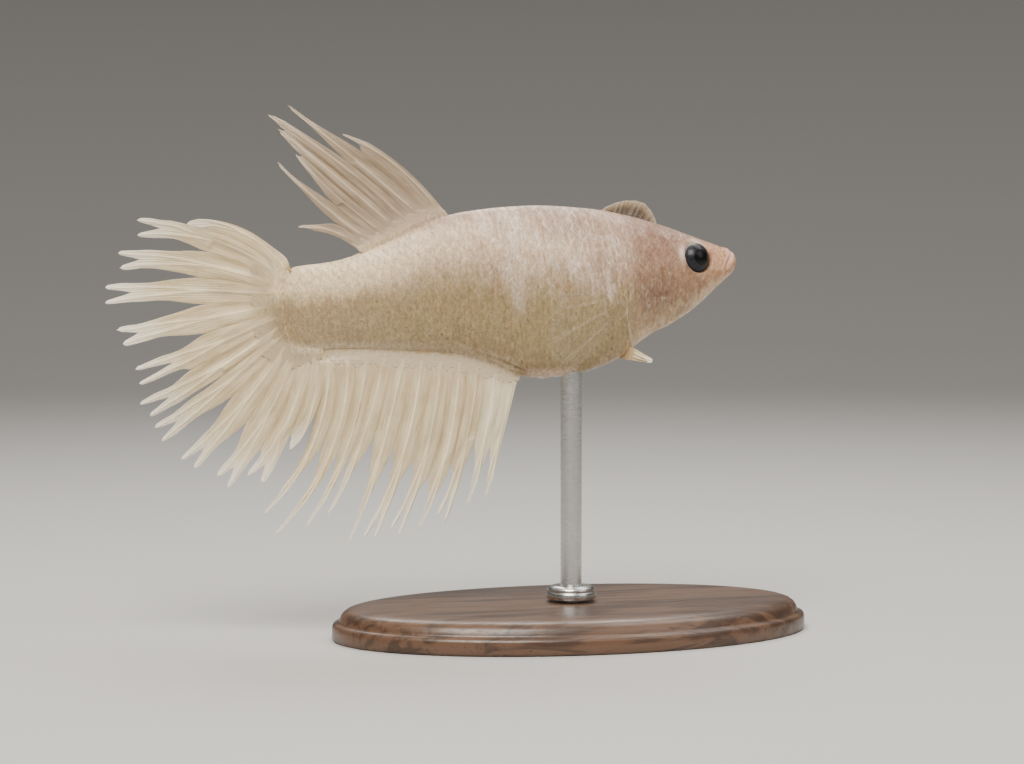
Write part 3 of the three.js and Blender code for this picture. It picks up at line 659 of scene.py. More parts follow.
skinShape = {
    "sides": 256,
    "trunkStep": 0.16,
    "headStep": 0.085,
    "headFrom": 29.0,
    "endRings": 14,
    "endPoint": 0.02,        # past the last ring at each end
    "coatDepth": 0.1,        # how far the skin lies inside the body's solids, under the scales
    "headDepth": 0.07,
    "headDepthFrom": (31, 37),
    "backFullness": 1.08, "bellyFullness": 0.98,
    "gill": {
        "line": [[31.9, 3.6], [30.9, 2.2], [30.35, 0.3], [30.15, -2.0], [30.35, -4.3], [31.0, -6.3],
                 [32.2, -8.2]],
        "from": (0.02, 0.16),                               # by share of the line, from its top
        "cover": 0.06, "coverEdge": (-0.1, 0.12), "coverFade": (0.8, 4.0),
        # dark is painted shade behind the slit: how strong, how far behind and how wide
        "slit": (0.05, 0.2, 0.16), "dark": (0.2, 0.16, 0.12),   # how strong, how far behind, how wide
        "rim": (0.1, 0.13), "rimFrom": (0.45, 0.62),
    },
    # a crease is a line in side view. It fades in and out by shares of its length. Deep is how strong
    # and how wide it is in the shape, dark how strong and how wide the painted shade in it is, and bone
    # is a ridge ahead of it, as its height, how far off it is and how wide.
    "creases": [
        {"line": [[35.3, 2.2], [34.5, 0.7], [34.3, -1.3], [34.9, -3.0], [36.5, -3.9], [38.6, -3.3]],
         "fade": (0.12, 0.85), "deep": (0.05, 0.16), "dark": (0.15, 0.12), "bone": (0.04, 0.3, 0.3)},
        {"line": [[30.5, -3.7], [32.3, -4.5], [34.7, -4.3]],
         "fade": (0.15, 0.8), "deep": (0.04, 0.14), "dark": (0.15, 0.1)},
        {"line": [[31.4, -6.2], [34.0, -5.0], [37.2, -4.1]],
         "fade": (0.2, 0.75), "deep": (0.05, 0.13), "dark": (0.2, 0.1)},
        {"line": [[31.9, -6.9], [34.6, -5.5], [37.8, -4.3]],
         "fade": (0.2, 0.75), "deep": (0.05, 0.13), "dark": (0.2, 0.1)},
        {"line": [[41.7, 1.9], [41.05, 1.3], [40.6, 0.4], [40.6, -0.6], [41.1, -1.3]],
         "fade": (0.15, 0.85), "deep": (0.04, 0.14), "dark": (0.15, 0.09)},
    ],
    "mouth": {
        "line": [[42.9, 2.0], [42.36, 1.36], [41.95, 0.85], [41.5, 0.3], [41.2, -0.2], [41.1, -0.6]],
        "fade": 0.88,
        # dark is painted shade in the cleft
        "cleft": (0.12, 0.1), "dark": (0.4, 0.08),
        "upperLip": (0.03, 0.28, 0.18), "lowerLip": (0.05, -0.34, 0.24),   # height, how far up, width
        "lipTones": [(0.26, 0.24), (-0.28, 0.26)],
    },
    # place and radius; then, in radii, the rim's height, how far out and how wide it is, and the pit
    "nostrils": [[41.3, 1.2, 0.12], [40.1, 1.55, 0.11]],
    # nostrilDark is painted shade in the pit
    "nostrilRim": (0.05, 1.5, 0.6), "nostrilPit": (0.12, 0.8), "nostrilDark": (0.7, 0.9),
    "socket": {
        "dip": (0.12, 0.05, 1.0), "pit": (0.9, -0.2, 0.04),     # depth, and where it ends out from the eye
        # dark is painted shade at the socket's edge, round the eye
        "rim": (0.03, 0.3, 0.2), "dark": (0.5, 0.08),
        "pearl": (0.4, 152, 24), "cream": (0.3, 75, 26),        # width, and its middle and reach in degrees
    },
    # soft swellings in side view, as place, height and width: the cheek, and the roots of the pectoral
    # and the pelvic fins
    "swellings": [(36.4, -1.3, 0.1, 1.7), (29.5, -2.2, 0.12, 1.0), (30.6, -7.3, 0.1, 0.8)],
    # flesh along the roots of the fins on the back (1) and on the belly (-1), and where it fades
    "finRoots": [(1, 5.4, 7.2, 13.4, 15), (-1, 0.0, 1.6, 19.2, 20.6)],
    "finRootHeight": 0.16, "finRootWidth": 0.45,
    "vent": (20.9, 0.1, 0.5),
}


def curveThrough(points, steps=18):
    points = np.array(points, float)
    ends = np.vstack([2 * points[0] - points[1], points, 2 * points[-1] - points[-2]])
    t = np.linspace(0, 1, steps, endpoint=False)[:, None]
    pieces = []
    for a, b, c, d in zip(ends, ends[1:], ends[2:], ends[3:]):
        pieces.append(0.5 * (2 * b + (c - a) * t + (2 * a - 5 * b + 4 * c - d) * t**2
                             + (3 * b - a - 3 * c + d) * t**3))
    return np.vstack([*pieces, points[-1:]])


def distanceTo(points, s, z):
    # from a curve drawn in side view: the distance, how far along it as a share, and the side it is on
    curve = curveThrough(points)
    best = np.full(s.shape, np.inf)
    share, side = np.zeros(s.shape), np.zeros(s.shape)
    for i in range(len(curve) - 1):
        (s0, z0), (s1, z1) = curve[i], curve[i + 1]
        ds, dz = s1 - s0, z1 - z0
        t = np.clip(((s - s0) * ds + (z - z0) * dz) / (ds * ds + dz * dz), 0, 1)
        gap = np.hypot(s - s0 - t * ds, z - z0 - t * dz)
        near = gap < best
        best = np.where(near, gap, best)
        share = np.where(near, (i + t) / (len(curve) - 1), share)
        side = np.where(near, np.sign(ds * (z - z0) - dz * (s - s0)), side)
    return best, share, side


def bodySurface(s, angle):
    # the outside of the body, with angle turning from the back towards the fish's left
    middle, height, half = section(s)
    rise, out = np.cos(angle), np.sin(angle)
    w = half * np.sign(out) * np.abs(out) ** fullness(rise)
    return np.stack([s, w, middle + height * rise], axis=-1)


def section(s):
    # a cross section of the body: the level of its middle, half its height and half its width
    snout = (s - fish["stations"][-1] + fish["snoutRounding"]) / fish["snoutRounding"]
    stalk = (fish["stations"][0] + fish["stalkRounding"] - s) / fish["stalkRounding"]
    left = np.sqrt(np.clip(1 - np.maximum(np.maximum(snout, stalk), 0) ** 2, 0, 1))
    back, belly = between(s, "back"), between(s, "belly")
    half = between(s, "half") * np.sqrt(np.where(s < fish["bluntUpTo"], 1, left))
    return (back + belly) / 2, (back - belly) / 2 * left, half


def fullness(rise):
    return np.where(rise > 0, skinShape["backFullness"], skinShape["bellyFullness"])


def skinHalf(s, z):
    # half the skin's width at a place in side view, and none outside its outline
    s = np.maximum(s, fish["stations"][0])
    middle, height, half = section(s)
    rise = (z - middle) / np.maximum(height, 0.01)
    return half * np.clip(1 - rise**2, 0, 1) ** (fullness(rise) / 2) - skinShape["coatDepth"]


def eyeAxis(side):
    forward, upward = math.radians(eye["forward"]), math.radians(eye["upward"])
    return np.array([math.sin(forward) * math.cos(upward), side * math.cos(forward) * math.cos(upward),
                     math.sin(upward)])


def aroundEye(points, side):
    # distance from the line that the eye looks along
    away = points - np.array([eye["s"], side * eye["w"], eye["z"]])
    along = away @ eyeAxis(side)
    return np.linalg.norm(away - along[..., None] * eyeAxis(side), axis=-1)


def skinStations():
    shape = skinShape
    snout, stalk = fish["stations"][-1], fish["stations"][0]
    ends = np.sin(np.linspace(0, math.pi / 2, shape["endRings"] + 1)[1:-1])
    tail = stalk + fish["stalkRounding"] * (1 - ends[::-1])
    trunkFrom = stalk + fish["stalkRounding"]
    headTo = snout - fish["snoutRounding"]
    trunkRings = round((shape["headFrom"] - trunkFrom) / shape["trunkStep"])
    headRings = round((headTo - shape["headFrom"]) / shape["headStep"]) + 1
    trunk = np.linspace(trunkFrom, shape["headFrom"], trunkRings, endpoint=False)
    head = np.linspace(shape["headFrom"], headTo, headRings)
    nose = headTo + fish["snoutRounding"] * ends
    return np.concatenate([tail, trunk, head, nose])


def gridNormals(points):
    ahead = np.gradient(points, axis=0)
    around = np.roll(points, -1, axis=1) - np.roll(points, 1, axis=1)
    normal = np.cross(ahead, around)
    return normal / np.linalg.norm(normal, axis=-1, keepdims=True)


def pressed(crease, s, z):
    # how far a crease lifts the skin, and how much painted shade it gets
    gap, share, side = distanceTo(crease["line"], s, z)
    start, end = crease["fade"]
    ends = smoothStep(share, 0, start) * (1 - smoothStep(share, end, 1))
    depth, width = crease["deep"]
    strength, spread = crease["dark"]
    height, away, soft = crease.get("bone", (0, 0, 1))
    lift = (height * bell(gap * side - away, soft) - depth * bell(gap, width)) * ends
    return lift, bell(gap, spread) * ends * strength


def skinRelief(points):
    # height of the skin's own shapes over the plain body, and the marks that its finish reads
    shape = skinShape
    s, w, z = np.moveaxis(points, -1, 0)
    lift, folds = np.zeros(s.shape), [np.zeros(s.shape)]

    # the gill cover stands over the shoulder behind it, with painted shade under its edge
    gill = shape["gill"]
    gap, share, side = distanceTo(gill["line"], s, z)
    ahead = gap * side
    edgeShare = smoothStep(share, *gill["from"])
    cover = smoothStep(ahead, *gill["coverEdge"]) * (1 - smoothStep(ahead, *gill["coverFade"]))
    (depth, behind, width), (strength, darkBehind, darkWidth) = gill["slit"], gill["dark"]
    lift += (gill["cover"] * cover - depth * bell(ahead + behind, width)) * edgeShare
    folds.append(bell(ahead + darkBehind, darkWidth) * edgeShare * strength)
    rimAhead, rimWidth = gill["rim"]
    rim = bell(ahead - rimAhead, rimWidth) * smoothStep(share, *gill["rimFrom"])

    # bones and creases of the cheek, throat and jaw, with painted shade in the creases
    for crease in shape["creases"]:
        rise, dark = pressed(crease, s, z)
        lift += rise
        folds.append(dark)
    for atS, atZ, height, width in shape["swellings"]:
        lift += height * bell(np.hypot(s - atS, z - atZ), width)

    # the mouth: a cleft from the front of the snout down to its corner, between two lips, with painted shade
    # in the cleft
    mouth = shape["mouth"]
    gap, share, side = distanceTo(mouth["line"], s, z)
    ends = 1 - smoothStep(share, mouth["fade"], 1)
    above = gap * -side
    for height, up, width in (mouth["upperLip"], mouth["lowerLip"]):
        lift += height * bell(above - up, width) * ends
    (depth, width), (strength, darkWidth) = mouth["cleft"], mouth["dark"]
    lift -= depth * bell(gap, width) * ends
    folds.append(bell(gap, darkWidth) * ends * strength)
    lip = sum(bell(above - up, width) for up, width in mouth["lipTones"]) * ends

    # nostrils: a low rim round a pit, with painted shade in the pit
    for nostrilS, nostrilZ, radius in shape["nostrils"]:
        gap = np.hypot(s - nostrilS, z - nostrilZ) / radius
        height, out, width = shape["nostrilRim"]
        depth, pitWidth = shape["nostrilPit"]
        strength, darkWidth = shape["nostrilDark"]
        lift += height * bell(gap - out, width) - depth * bell(gap, pitWidth)
        folds.append(bell(gap, darkWidth) * strength)

    # eye sockets, with a soft rim that dips towards the eyeball, painted shade at its inner edge, pearly
    # behind and cream above
    socket = shape["socket"]
    rims = {"pearl": 0, "cream": 0}
    turn = np.degrees(np.arctan2(z - eye["z"], s - eye["s"]))
    for side in (-1, 1):
        gap = np.where(w * side > 0.2, aroundEye(points, side), 99) - eye["radius"]
        for depth, start, end in (socket["dip"], socket["pit"]):
            lift -= depth * (1 - smoothStep(gap, start, end))
        height, out, width = socket["rim"]
        lift += height * bell(gap - out, width)
        strength, width = socket["dark"]
        folds.append(bell(gap, width) * strength)
        for name in rims:
            width, middle, reach = socket[name]
            rims[name] += bell(gap - width, width) * bell(turnFrom(turn, middle), reach)

    # flesh along the roots of the middle fins, and the vent ahead of the anal fin
    for half, start, full, fading, end in shape["finRoots"]:
        along = smoothStep(s, start, full) * (1 - smoothStep(s, fading, end))
        lift += shape["finRootHeight"] * bell(w, shape["finRootWidth"]) * (z * half > 0) * along
    ventS, height, width = shape["vent"]
    lift += height * bell(np.hypot(s - ventS, w), width) * (z < 0)
    # the first mark holds the painted shade of the creases, gill slit, mouth, nostrils and eye sockets
    return lift, {"creaseShade": np.max(folds, axis=0), "lip": np.clip(lip, 0, 1), "gillRim": rim,
                  "pearlRim": np.clip(rims["pearl"], 0, 1), "creamRim": np.clip(rims["cream"], 0, 1)}


stations = skinStations()
angles = np.arange(skinShape["sides"]) * 2 * math.pi / skinShape["sides"]
ringS, ringAngle = np.meshgrid(stations, angles, indexing="ij")
plainBody = bodySurface(ringS, ringAngle)
plainNormals = gridNormals(plainBody)
relief, skinMarks = skinRelief(plainBody)
onHead = smoothStep(ringS, *skinShape["headDepthFrom"])
depth = skinShape["coatDepth"] * (1 - onHead) + skinShape["headDepth"] * onHead
skinGrid = plainBody + plainNormals * (relief - depth)[..., None]
skinNormals = gridNormals(skinGrid)


def levelOf(points):
    s = np.maximum(points[..., 0], fish["stations"][0])
    back, belly = between(s, "back"), between(s, "belly")
    return (points[..., 2] - belly) / (back - belly)


def unwrapped(s, angle):
    # a place on the skin's own unwrap: along the body, and round it
    first, last = fish["stations"][0], fish["stations"][-1]
    return np.stack([(s - first) / (last - first), angle / (2 * math.pi)], axis=-1)


def makeSkin():
    rows, columns = ringS.shape
    points = skinGrid.reshape(-1, 3)
    tip = skinGrid[-1].mean(0) + [skinShape["endPoint"], 0, 0]
    end = skinGrid[0].mean(0) - [skinShape["endPoint"], 0, 0]
    points = np.vstack([points, end, tip])
    faces = gridFaces(rows, columns, wrap=True)[:, ::-1]
    endIndex, tipIndex = rows * columns, rows * columns + 1
    k = np.arange(columns)
    last = (rows - 1) * columns
    caps = np.vstack([np.stack([np.full(columns, endIndex), k, (k + 1) % columns], axis=-1),
                      np.stack([np.full(columns, tipIndex), last + (k + 1) % columns, last + k], axis=-1)])
    marks = {name: np.append(values.ravel(), [0, 0]) for name, values in skinMarks.items()}
    marks["level"] = np.append(levelOf(plainBody).ravel(), [0.5, 0.5])
    marks["fishPlace"] = points
    where = unwrapped(ringS, ringAngle).reshape(-1, 2)
    corners = where[faces]
    wraps = corners[..., 1].max(1) - corners[..., 1].min(1) > 0.5
    corners[wraps, :, 1] += (corners[wraps, :, 1] < 0.5)
    capCorners = np.zeros((len(caps), 3, 2))
    capCorners[:, 1:] = where[caps[:, 1:]]
    capCorners[:, 0] = capCorners[:, 1] + [0.0005, 0]
    nodes = ("head", "lower_jaw", "gill_cover_right", "gill_cover_left", "trunk", "tail_stalk")
    makePiece("skin", intoRow(points), [*faces, *caps], skinFinish(), nodes, marks,
              np.vstack([corners.reshape(-1, 2), capCorners.reshape(-1, 2)]))


makeSkin()


# scales, laid in staggered rows over the skin

scales = {
    "pitch": 1.04,           # along the body
    "rowPitch": 0.6,
    "tailShare": 0.82,       # how much of that is left at the tail
    "headShare": 0.62,
    "length": 1.75,          # of a scale, in pitches
    "width": 0.69,           # half a scale's width, in pitches
    "lift": 0.017,           # over the skin
    "sink": 0.024,
    "thickness": 0.01, "thinEdge": 0.4,     # and the share of it that is left at the edge
    # how the upper face runs: it rises, slopes and droops, by share of the length, and is domed
    "rise": (0.9, 0.03, 0.6), "slope": 0.1, "droop": (0.19, 0.7, 1.0), "dome": (0.1, 0.2),
    "rows": 7, "columns": 6,
    "tailShareUpTo": 14, "headShareFrom": (29.5, 32),
    "headLift": 0.35,        # share of the lift on the head
    "headLiftFrom": (30, 32),
    "uneven": {"size": 0.08, "width": 0.05, "lift": 0.3},
    "rootShare": 0.3,        # how much of a scale lies ahead of its root
    "squareness": 2.6,       # of the outline; 2 is an ellipse
    "bow": 0.12,             # how far the corners of the free edge fall back
    "firstS": -0.2, "lastS": 38.0, "mostRows": 20,
    "frontFrom": 20.0,       # each side is made as two pieces, split here
    # rows along the middle of the back and of the belly, from and to
    "middleRows": [("top", 34.0, 15.6), ("top", 4.6, 0.0), ("bottom", 29.0, 21.4)],
    "eyeGap": 0.75,          # round the eye, without scales
    "eyeSide": 2.5,          # the side of the face, as seen from the eye
    "gillGap": (-0.15, 0.35), "gillGapFrom": 0.4,
    "pectoralGap": (30.0, -2.3, 0.9),
    "throat": (30.5, 31, -4.4, 0.32),   # from where, and the line it lies under: start, level, slope
    "snout": (36.3, 1.2),    # no scales ahead of this and below it
    "arcReach": 12.0, "arcStep": 0.1,
    "patch": 0.003,          # of a scale on the bake map
    "seed": 7,
}


def angleTable():
    # the angle at each distance round a ring from the widest line, up being positive, and on past
    # the middle of the back and of the belly
    half = skinShape["sides"] // 2 + 1
    steps = np.linalg.norm(np.diff(plainBody[:, :half], axis=1), axis=-1)
    arc = np.concatenate([np.zeros((len(stations), 1)), np.cumsum(steps, axis=1)], axis=1)
    arc = arc[:, half // 2][:, None] - arc
    top, bottom = arc[:, :1], arc[:, -1:]
    arcs = np.hstack([2 * bottom - arc[:, :-1], arc[:, ::-1], (2 * top - arc)[:, 1:]])
    turns = angles[:half]
    turns = np.concatenate([2 * math.pi - turns[:-1], turns[::-1], -turns[1:]])
    reach = np.arange(-scales["arcReach"], scales["arcReach"] + 1e-6, scales["arcStep"])
    table = np.array([np.interp(reach, ring, turns) for ring in arcs])
    return table, {"top": arc[:, 0], "bottom": arc[:, -1]}


arcAngles, arcEnds = angleTable()


def sample(table, row, column, wrap=False):
    # values between the points of a grid
    r0 = np.clip(np.floor(row).astype(int), 0, table.shape[0] - 2)
    rt = np.clip(row - r0, 0, 1)
    c0 = np.floor(column).astype(int)
    ct = column - c0
    if wrap:
        c1 = (c0 + 1) % table.shape[1]
        c0 = c0 % table.shape[1]
    else:
        c0 = np.clip(c0, 0, table.shape[1] - 2)
        ct = np.clip(column - c0, 0, 1)
        c1 = c0 + 1
    if table.ndim == 3:
        rt, ct = rt[..., None], ct[..., None]
    first = table[r0, c0] * (1 - ct) + table[r0, c1] * ct
    second = table[r0 + 1, c0] * (1 - ct) + table[r0 + 1, c1] * ct
    return first * (1 - rt) + second * rt


def rowOf(s):
    return np.interp(s, stations, np.arange(len(stations)))


def angleAt(s, arc):
    column = (arc + scales["arcReach"]) / scales["arcStep"]
    return sample(arcAngles, rowOf(s), column)


def onSkin(s, angle):
    row, column = rowOf(s), angle / (2 * math.pi) * skinShape["sides"]
    normal = sample(skinNormals, row, column, True)
    return sample(skinGrid, row, column, True), normal / np.linalg.norm(normal, axis=-1, keepdims=True)


def scaleShare(s):
    tail = scales["tailShare"] + (1 - scales["tailShare"]) * smoothStep(s, 0, scales["tailShareUpTo"])
    return tail - (1 - scales["headShare"]) * smoothStep(s, *scales["headShareFrom"])


def hasScale(s, z):
    # no scales round the eye, over the gill slit, on the throat and at the roots of the paired fins
    ahead, level = np.array([s]), np.array([z])
    if aroundEye(np.array([[s, scales["eyeSide"], z]]), 1)[0] < eye["radius"] + scales["eyeGap"]:
        return False
    gap, share, side = distanceTo(skinShape["gill"]["line"], ahead, level)
    behind, before = scales["gillGap"]
    if share[0] > scales["gillGapFrom"] and behind < gap[0] * side[0] < before:
        return False
    throatFrom, start, throatLevel, slope = scales["throat"]
    if s > throatFrom and z < throatLevel + (s - start) * slope:
        return False
    snoutS, snoutZ = scales["snout"]
    if s > snoutS and z < snoutZ:
        return False
    finS, finZ, radius = scales["pectoralGap"]
    return math.hypot(s - finS, z - finZ) > radius


def scaleRoots():
    roots = []
    s = scales["lastS"]
    column = 0
    while s > scales["firstS"]:
        share = scaleShare(s)
        top, bottom = (np.interp(s, stations, arcEnds[end]) for end in ("top", "bottom"))
        rowPitch = scales["rowPitch"] * share
        for row in range(-scales["mostRows"], scales["mostRows"] + 1):
            arc = row * rowPitch
            if (row + column) % 2 or not bottom + 0.5 * rowPitch < arc < top - 0.5 * rowPitch:
                continue
            place = np.array([s])
            z = onSkin(place, angleAt(place, np.array([arc])))[0][0, 2]
            if hasScale(s, z):
                roots += [(s, arc, share, 1), (s, arc, share, -1)]
        s -= scales["pitch"] * share / 2
        column += 1
    for end, s, stop in scales["middleRows"]:
        while s > stop:
            share = scaleShare(s)
            roots.append((s, np.interp(s, stations, arcEnds[end]), share, 1))
            s -= scales["pitch"] * share / 2
    return np.array(roots, float)


def scaleGrid():
    # places on one scale: p from its root to its free edge, q across it
    p = (1 - np.cos(np.linspace(0, math.pi, scales["rows"] + 1))) / 2
    p, q = np.meshgrid(p, np.linspace(-1, 1, scales["columns"] + 1), indexing="ij")
    power = scales["squareness"]
    outline = np.maximum(1 - np.abs(2 * p - 1) ** power, 0.02) ** (1 / power)
    return p, q, outline, p * (1 - scales["bow"] * q**2 * p) - scales["rootShare"]


def scaleHeights(p, q, outline, lift):
    # over the surface that a scale lies on: of its upper face, and of the lower one. It comes up out of
    # the skin at its root, is domed across, and its free edge lies down on the next scale.
    up, *rising = scales["rise"]
    down, *drooping = scales["droop"]
    rise = up * smoothStep(p, *rising) + scales["slope"] * p - down * smoothStep(p, *drooping)
    dome = 1 - scales["dome"][0] * q**2 - scales["dome"][1] * q**6
    top = (lift + scales["sink"]) * rise * dome - scales["sink"]
    inward = np.clip(outline * (1 - q**2), 0, 1)
    thick = scales["thickness"] * (scales["thinEdge"] + (1 - scales["thinEdge"]) * inward)
    return top, top - thick


def uneven(what, chance):
    return 1 + scales["uneven"][what] * (chance - 0.5)


def makeScales(name, roots, chance, finish):
    p, q, outline, back = scaleGrid()
    s0, arc0, share, side = roots.T[:, :, None, None]
    sizeChance, widthChance, liftChance, toneChance = chance.T[:, :, None, None]
    size = scales["pitch"] * share * uneven("size", sizeChance)
    s = s0 - back * scales["length"] * size
    arc = arc0 + q * outline * scales["width"] * size * uneven("width", widthChance)
    angle = angleAt(s, arc)
    points, normals = onSkin(s, np.where(side > 0, angle, -angle))
    onHead = smoothStep(s0, *scales["headLiftFrom"])
    lift = scales["lift"] * (1 - (1 - scales["headLift"]) * onHead) * uneven("lift", liftChance)
    upper, lower = (points + normals * height[..., None] for height in scaleHeights(p, q, outline, lift))
    rootAngle = (np.where(side > 0, 1, -1) * angleAt(s0, arc0))[:, 0, 0] % (2 * math.pi)
    where = unwrapped(s0[:, 0, 0], rootAngle)
    joinScales(name, upper, lower, where, p, q, toneChance.ravel(), finish)


def joinScales(name, upper, lower, where, p, q, chance, finish, extra=None):
    # one mesh of many scales: their upper and lower faces, and the flat strip round each
    count, n, m = len(upper), scales["rows"], scales["columns"]
    grid = (n + 1) * (m + 1)
    places = np.concatenate([upper.reshape(count, grid, 3), lower.reshape(count, grid, 3)], axis=1)
    faces = gridFaces(n + 1, m + 1)
    border = [*range(0, m + 1), *range(2 * m + 1, grid, m + 1), *range(grid - 2, n * (m + 1) - 1, -1),
              *range((n - 1) * (m + 1), 0, -(m + 1))]
    around = np.array([[a, b, b + grid, a + grid] for a, b in zip(border, border[1:] + border[:1])])
    one = np.vstack([faces[:, ::-1], faces + grid, around])
    allFaces = (one[None] + np.arange(count)[:, None, None] * 2 * grid).reshape(-1, 4)
    local = np.stack([p.ravel() - 0.5, q.ravel() / 2], axis=-1) * scales["patch"]
    local = np.vstack([local, local])
    spots = (where[:, None] + local[None]).reshape(-1, 2)
    flat = places.reshape(-1, 3)
    marks = {
        "fishPlace": flat,
        "level": levelOf(flat),
        "reach": np.tile(np.concatenate([p.ravel(), p.ravel()]), count),
        "chance": np.repeat(chance, 2 * grid),
    }
    for mark, values in (extra or {}).items():
        marks[mark] = np.concatenate([values.reshape(count, grid)] * 2, axis=1).ravel()
    strips = np.flatnonzero(np.tile(np.arange(len(one)) >= 2 * len(faces), count))
    corners = spots[allFaces].reshape(-1, 2)
    makePiece(name, intoRow(flat), allFaces, finish, (), marks, corners, strips)


scaleMaterial = scaleFinish("fishScales", markings["tailBase"])
roots = scaleRoots()
for sideName, side in (("right", -1), ("left", 1)):
    sideRoots = roots[roots[:, 3] == side]
    chance = np.random.default_rng(scales["seed"]).random((len(sideRoots), 4))
    inFront = sideRoots[:, 0] > scales["frontFrom"]
    for part, chosen in (("front", inFront), ("rear", ~inFront)):
        makeScales(f"scales_{part}_{sideName}", sideRoots[chosen], chance[chosen], scaleMaterial)


# fins

finBuild = {
    "rootReach": 1.8,       # how far the thick root runs out
    "rootSmooth": 2.5,      # the rays' ridges are full from here on
    "web": 0.045,
    "margin": 0.015,
    "innermost": 0.004,
    "ray": 0.1, "rayTip": 0.06,
    "rayWidth": 0.15, "rayTipWidth": 0.1,
    "billow": 0.2,
    "inside": -0.06,        # share of a ray that lies inside the body
    "rows": 110, "columns": 12,
    "roundEnd": 0.3,        # length of a lobe's rounded end
    "stop": 0.99, "stopUneven": 0.012,      # where the lobes end, by share of the ray
    "wobble": 0.07, "wobbleSpeed": 19,      # of a lobe's width
    "wobbleTurns": (2.1, 1.3), "wobbleFade": 0.15,      # from ray to ray and side to side
    "lobeUpTo": 0.99,       # a lobe starts no later than this
    "rayApart": 7.3,        # so that no two rays have the same streaks
    "narrowing": 0.75,      # from the web to the lobe, as a share of the way to where the ray splits
    "edgeFade": (0.05, 0.4), "flareFade": (-0.3, 0.8),
    "splitPower": 0.85, "splitBulge": 0.05,
    "earlyBranch": 0.65,    # how much of a ray's branching shows before it splits
    "billowFrom": (0.05, 0.5), "billowEnd": 0.15, "billowUpTo": 0.3,
    "bareFrom": 0.3,        # the fin's border is thick up to here, in the body
    "weld": 2000,           # points less than one part of a millimetre in this many apart are joined
    "mapSize": 0.49,        # of each face of a fin on the bake map
}

tailFin = {
    "rootReach": 3.6, "rootLowest": -2.9, "stalkReach": 4.3, "gap": 0.25, "rootHalf": 0.36,
    "underStalk": [1.7, 0.65, -0.3],
    "tips": [[-1.8, -12.9], [-5.3, -15.6], [-8.3, -15.6], [-11.4, -13.75], [-13.75, -10.65], [-14.8, -8.3],
             [-15.1, -5.1], [-16.5, -1.4], [-17.5, 2.55], [-16.05, 5.6], [-13.9, 8.5], [-9.4, 8.5]],
    "bow": [0.09, 0.06, 0.04, 0.03, 0.02, 0.02, 0.01, -0.01, -0.03, -0.06, -0.09, -0.14],
    "web": [0.68, 0.7, 0.56, 0.49, 0.46, 0.64, 0.49, 0.45, 0.47, 0.5, 0.66, 0],
    "fork": [1, 0.86, 0.87, 0.85, 0.86, 0.83, 0.76, 0.88, 0.85, 0.87, 0.86, 1],
    "branch": 0.35, "edge": 0.4, "lobe": 0.84, "tip": 0.15, "spread": 0.7,
    "firstFlare": (0.42, 5.0), "lastFlare": (0.35, 1.6), "rootSmooth": 5.0,
    "wave": {"height": 0.7, "turns": 2.5, "centre": (0, 0), "reach": 16.6},
}
analFin = {
    "rootFront": 19.75, "rootRear": 2.65, "gap": 0.25, "rootHalf": 0.22,
    "tips": [[16.2, -19.3], [14.3, -19.9], [11.6, -20.8], [9.3, -21.5], [7.1, -21.5], [4.7, -21.9],
             [2.9, -22.0], [1.2, -19.4], [-0.9, -20.3], [-4, -20.9], [-4.7, -18.8]],
    "bow": [0.0, 0.03, 0.05, 0.06, 0.06, 0.05, 0.03, 0.04, 0.07, 0.11, 0.11],
    "web": [0.53, 0.48, 0.6, 0.66, 0.55, 0.46, 0.43, 0.49, 0.46, 0.44, 0],
    "forked": [2, 4, 5], "fork": 0.84,
    "branch": 0.4, "edge": 0.35, "lobe": 0.45, "tip": 0.11, "spread": 0.45, "narrowing": 0.5,
    "lastFlare": (0.62, 6.5), "rootSmooth": 3.0,
    "wave": {"height": 0.6, "turns": 2.2, "centre": (10, -5), "reach": 17},
}
dorsalFin = {
    "gap": 0.25, "rootHalf": 0.3,
    "roots": [6.5, 7.7, 9.0, 10.1, 11.2, 12.5, 14.1],
    "tips": [[0.8, 7.4], [-0.6, 13.4], [1.2, 14.0], [-0.3, 16.4], [-1.0, 17.8], [0.8, 18.5], [5.6, 15.5]],
    "bow": [-0.1, 0.03, 0.03, -0.01, -0.03, -0.01, -0.065],
    "web": [0.36, 0.45, 0.86, 0.9, 0.5, 0.6, 0],
    "branch": 0.5, "edge": 0.35, "lobe": 0.28, "tip": 0.09, "spread": 0.2,
    "wave": {"height": 0.5, "turns": 1.5, "centre": (10, 6), "reach": 16},
}
pectoralFin = {
    "right": {"root": (29.5, -4.05, -2.3), "rise": 196, "lean": 12, "splay": 24, "length": 9.7},
    "left": {"root": (30.2, 4.05, -1.7), "rise": 53, "lean": 6, "splay": 0, "length": 9.9,
             "rays": 11, "roundness": 0.27},
    "rays": 7, "fan": 42, "roundness": 0.16, "rootHeight": 2.0, "rootHalf": 0.12, "web": 1.0,
    "branch": 0.4, "edge": 0.3, "lobe": 0.5, "tip": 0.45, "spread": 0.3, "ridge": 0.3, "billow": 0.4,
}
pelvicFin = {
    "right": {"root": (31.0, -1.5, -7.3), "rise": -20, "lean": 0, "splay": 48, "length": 2.4,
              "rays": 2, "fan": -20, "roundness": 0, "inside": -0.4, "edge": 0.16, "tip": 0.05},
    "left": {"root": (30.4, 2.85, -7.35), "rise": 184, "lean": 0, "splay": 1.5, "length": 8.6,
             "rays": 3, "fan": 12, "roundness": 0.16},
    "rootHeight": 0.9, "rootHalf": 0.12, "web": 0.86,
    "branch": 0.6, "edge": 0.28, "lobe": 0.3, "tip": 0.12, "spread": 0.1, "ridge": 0.35,
}


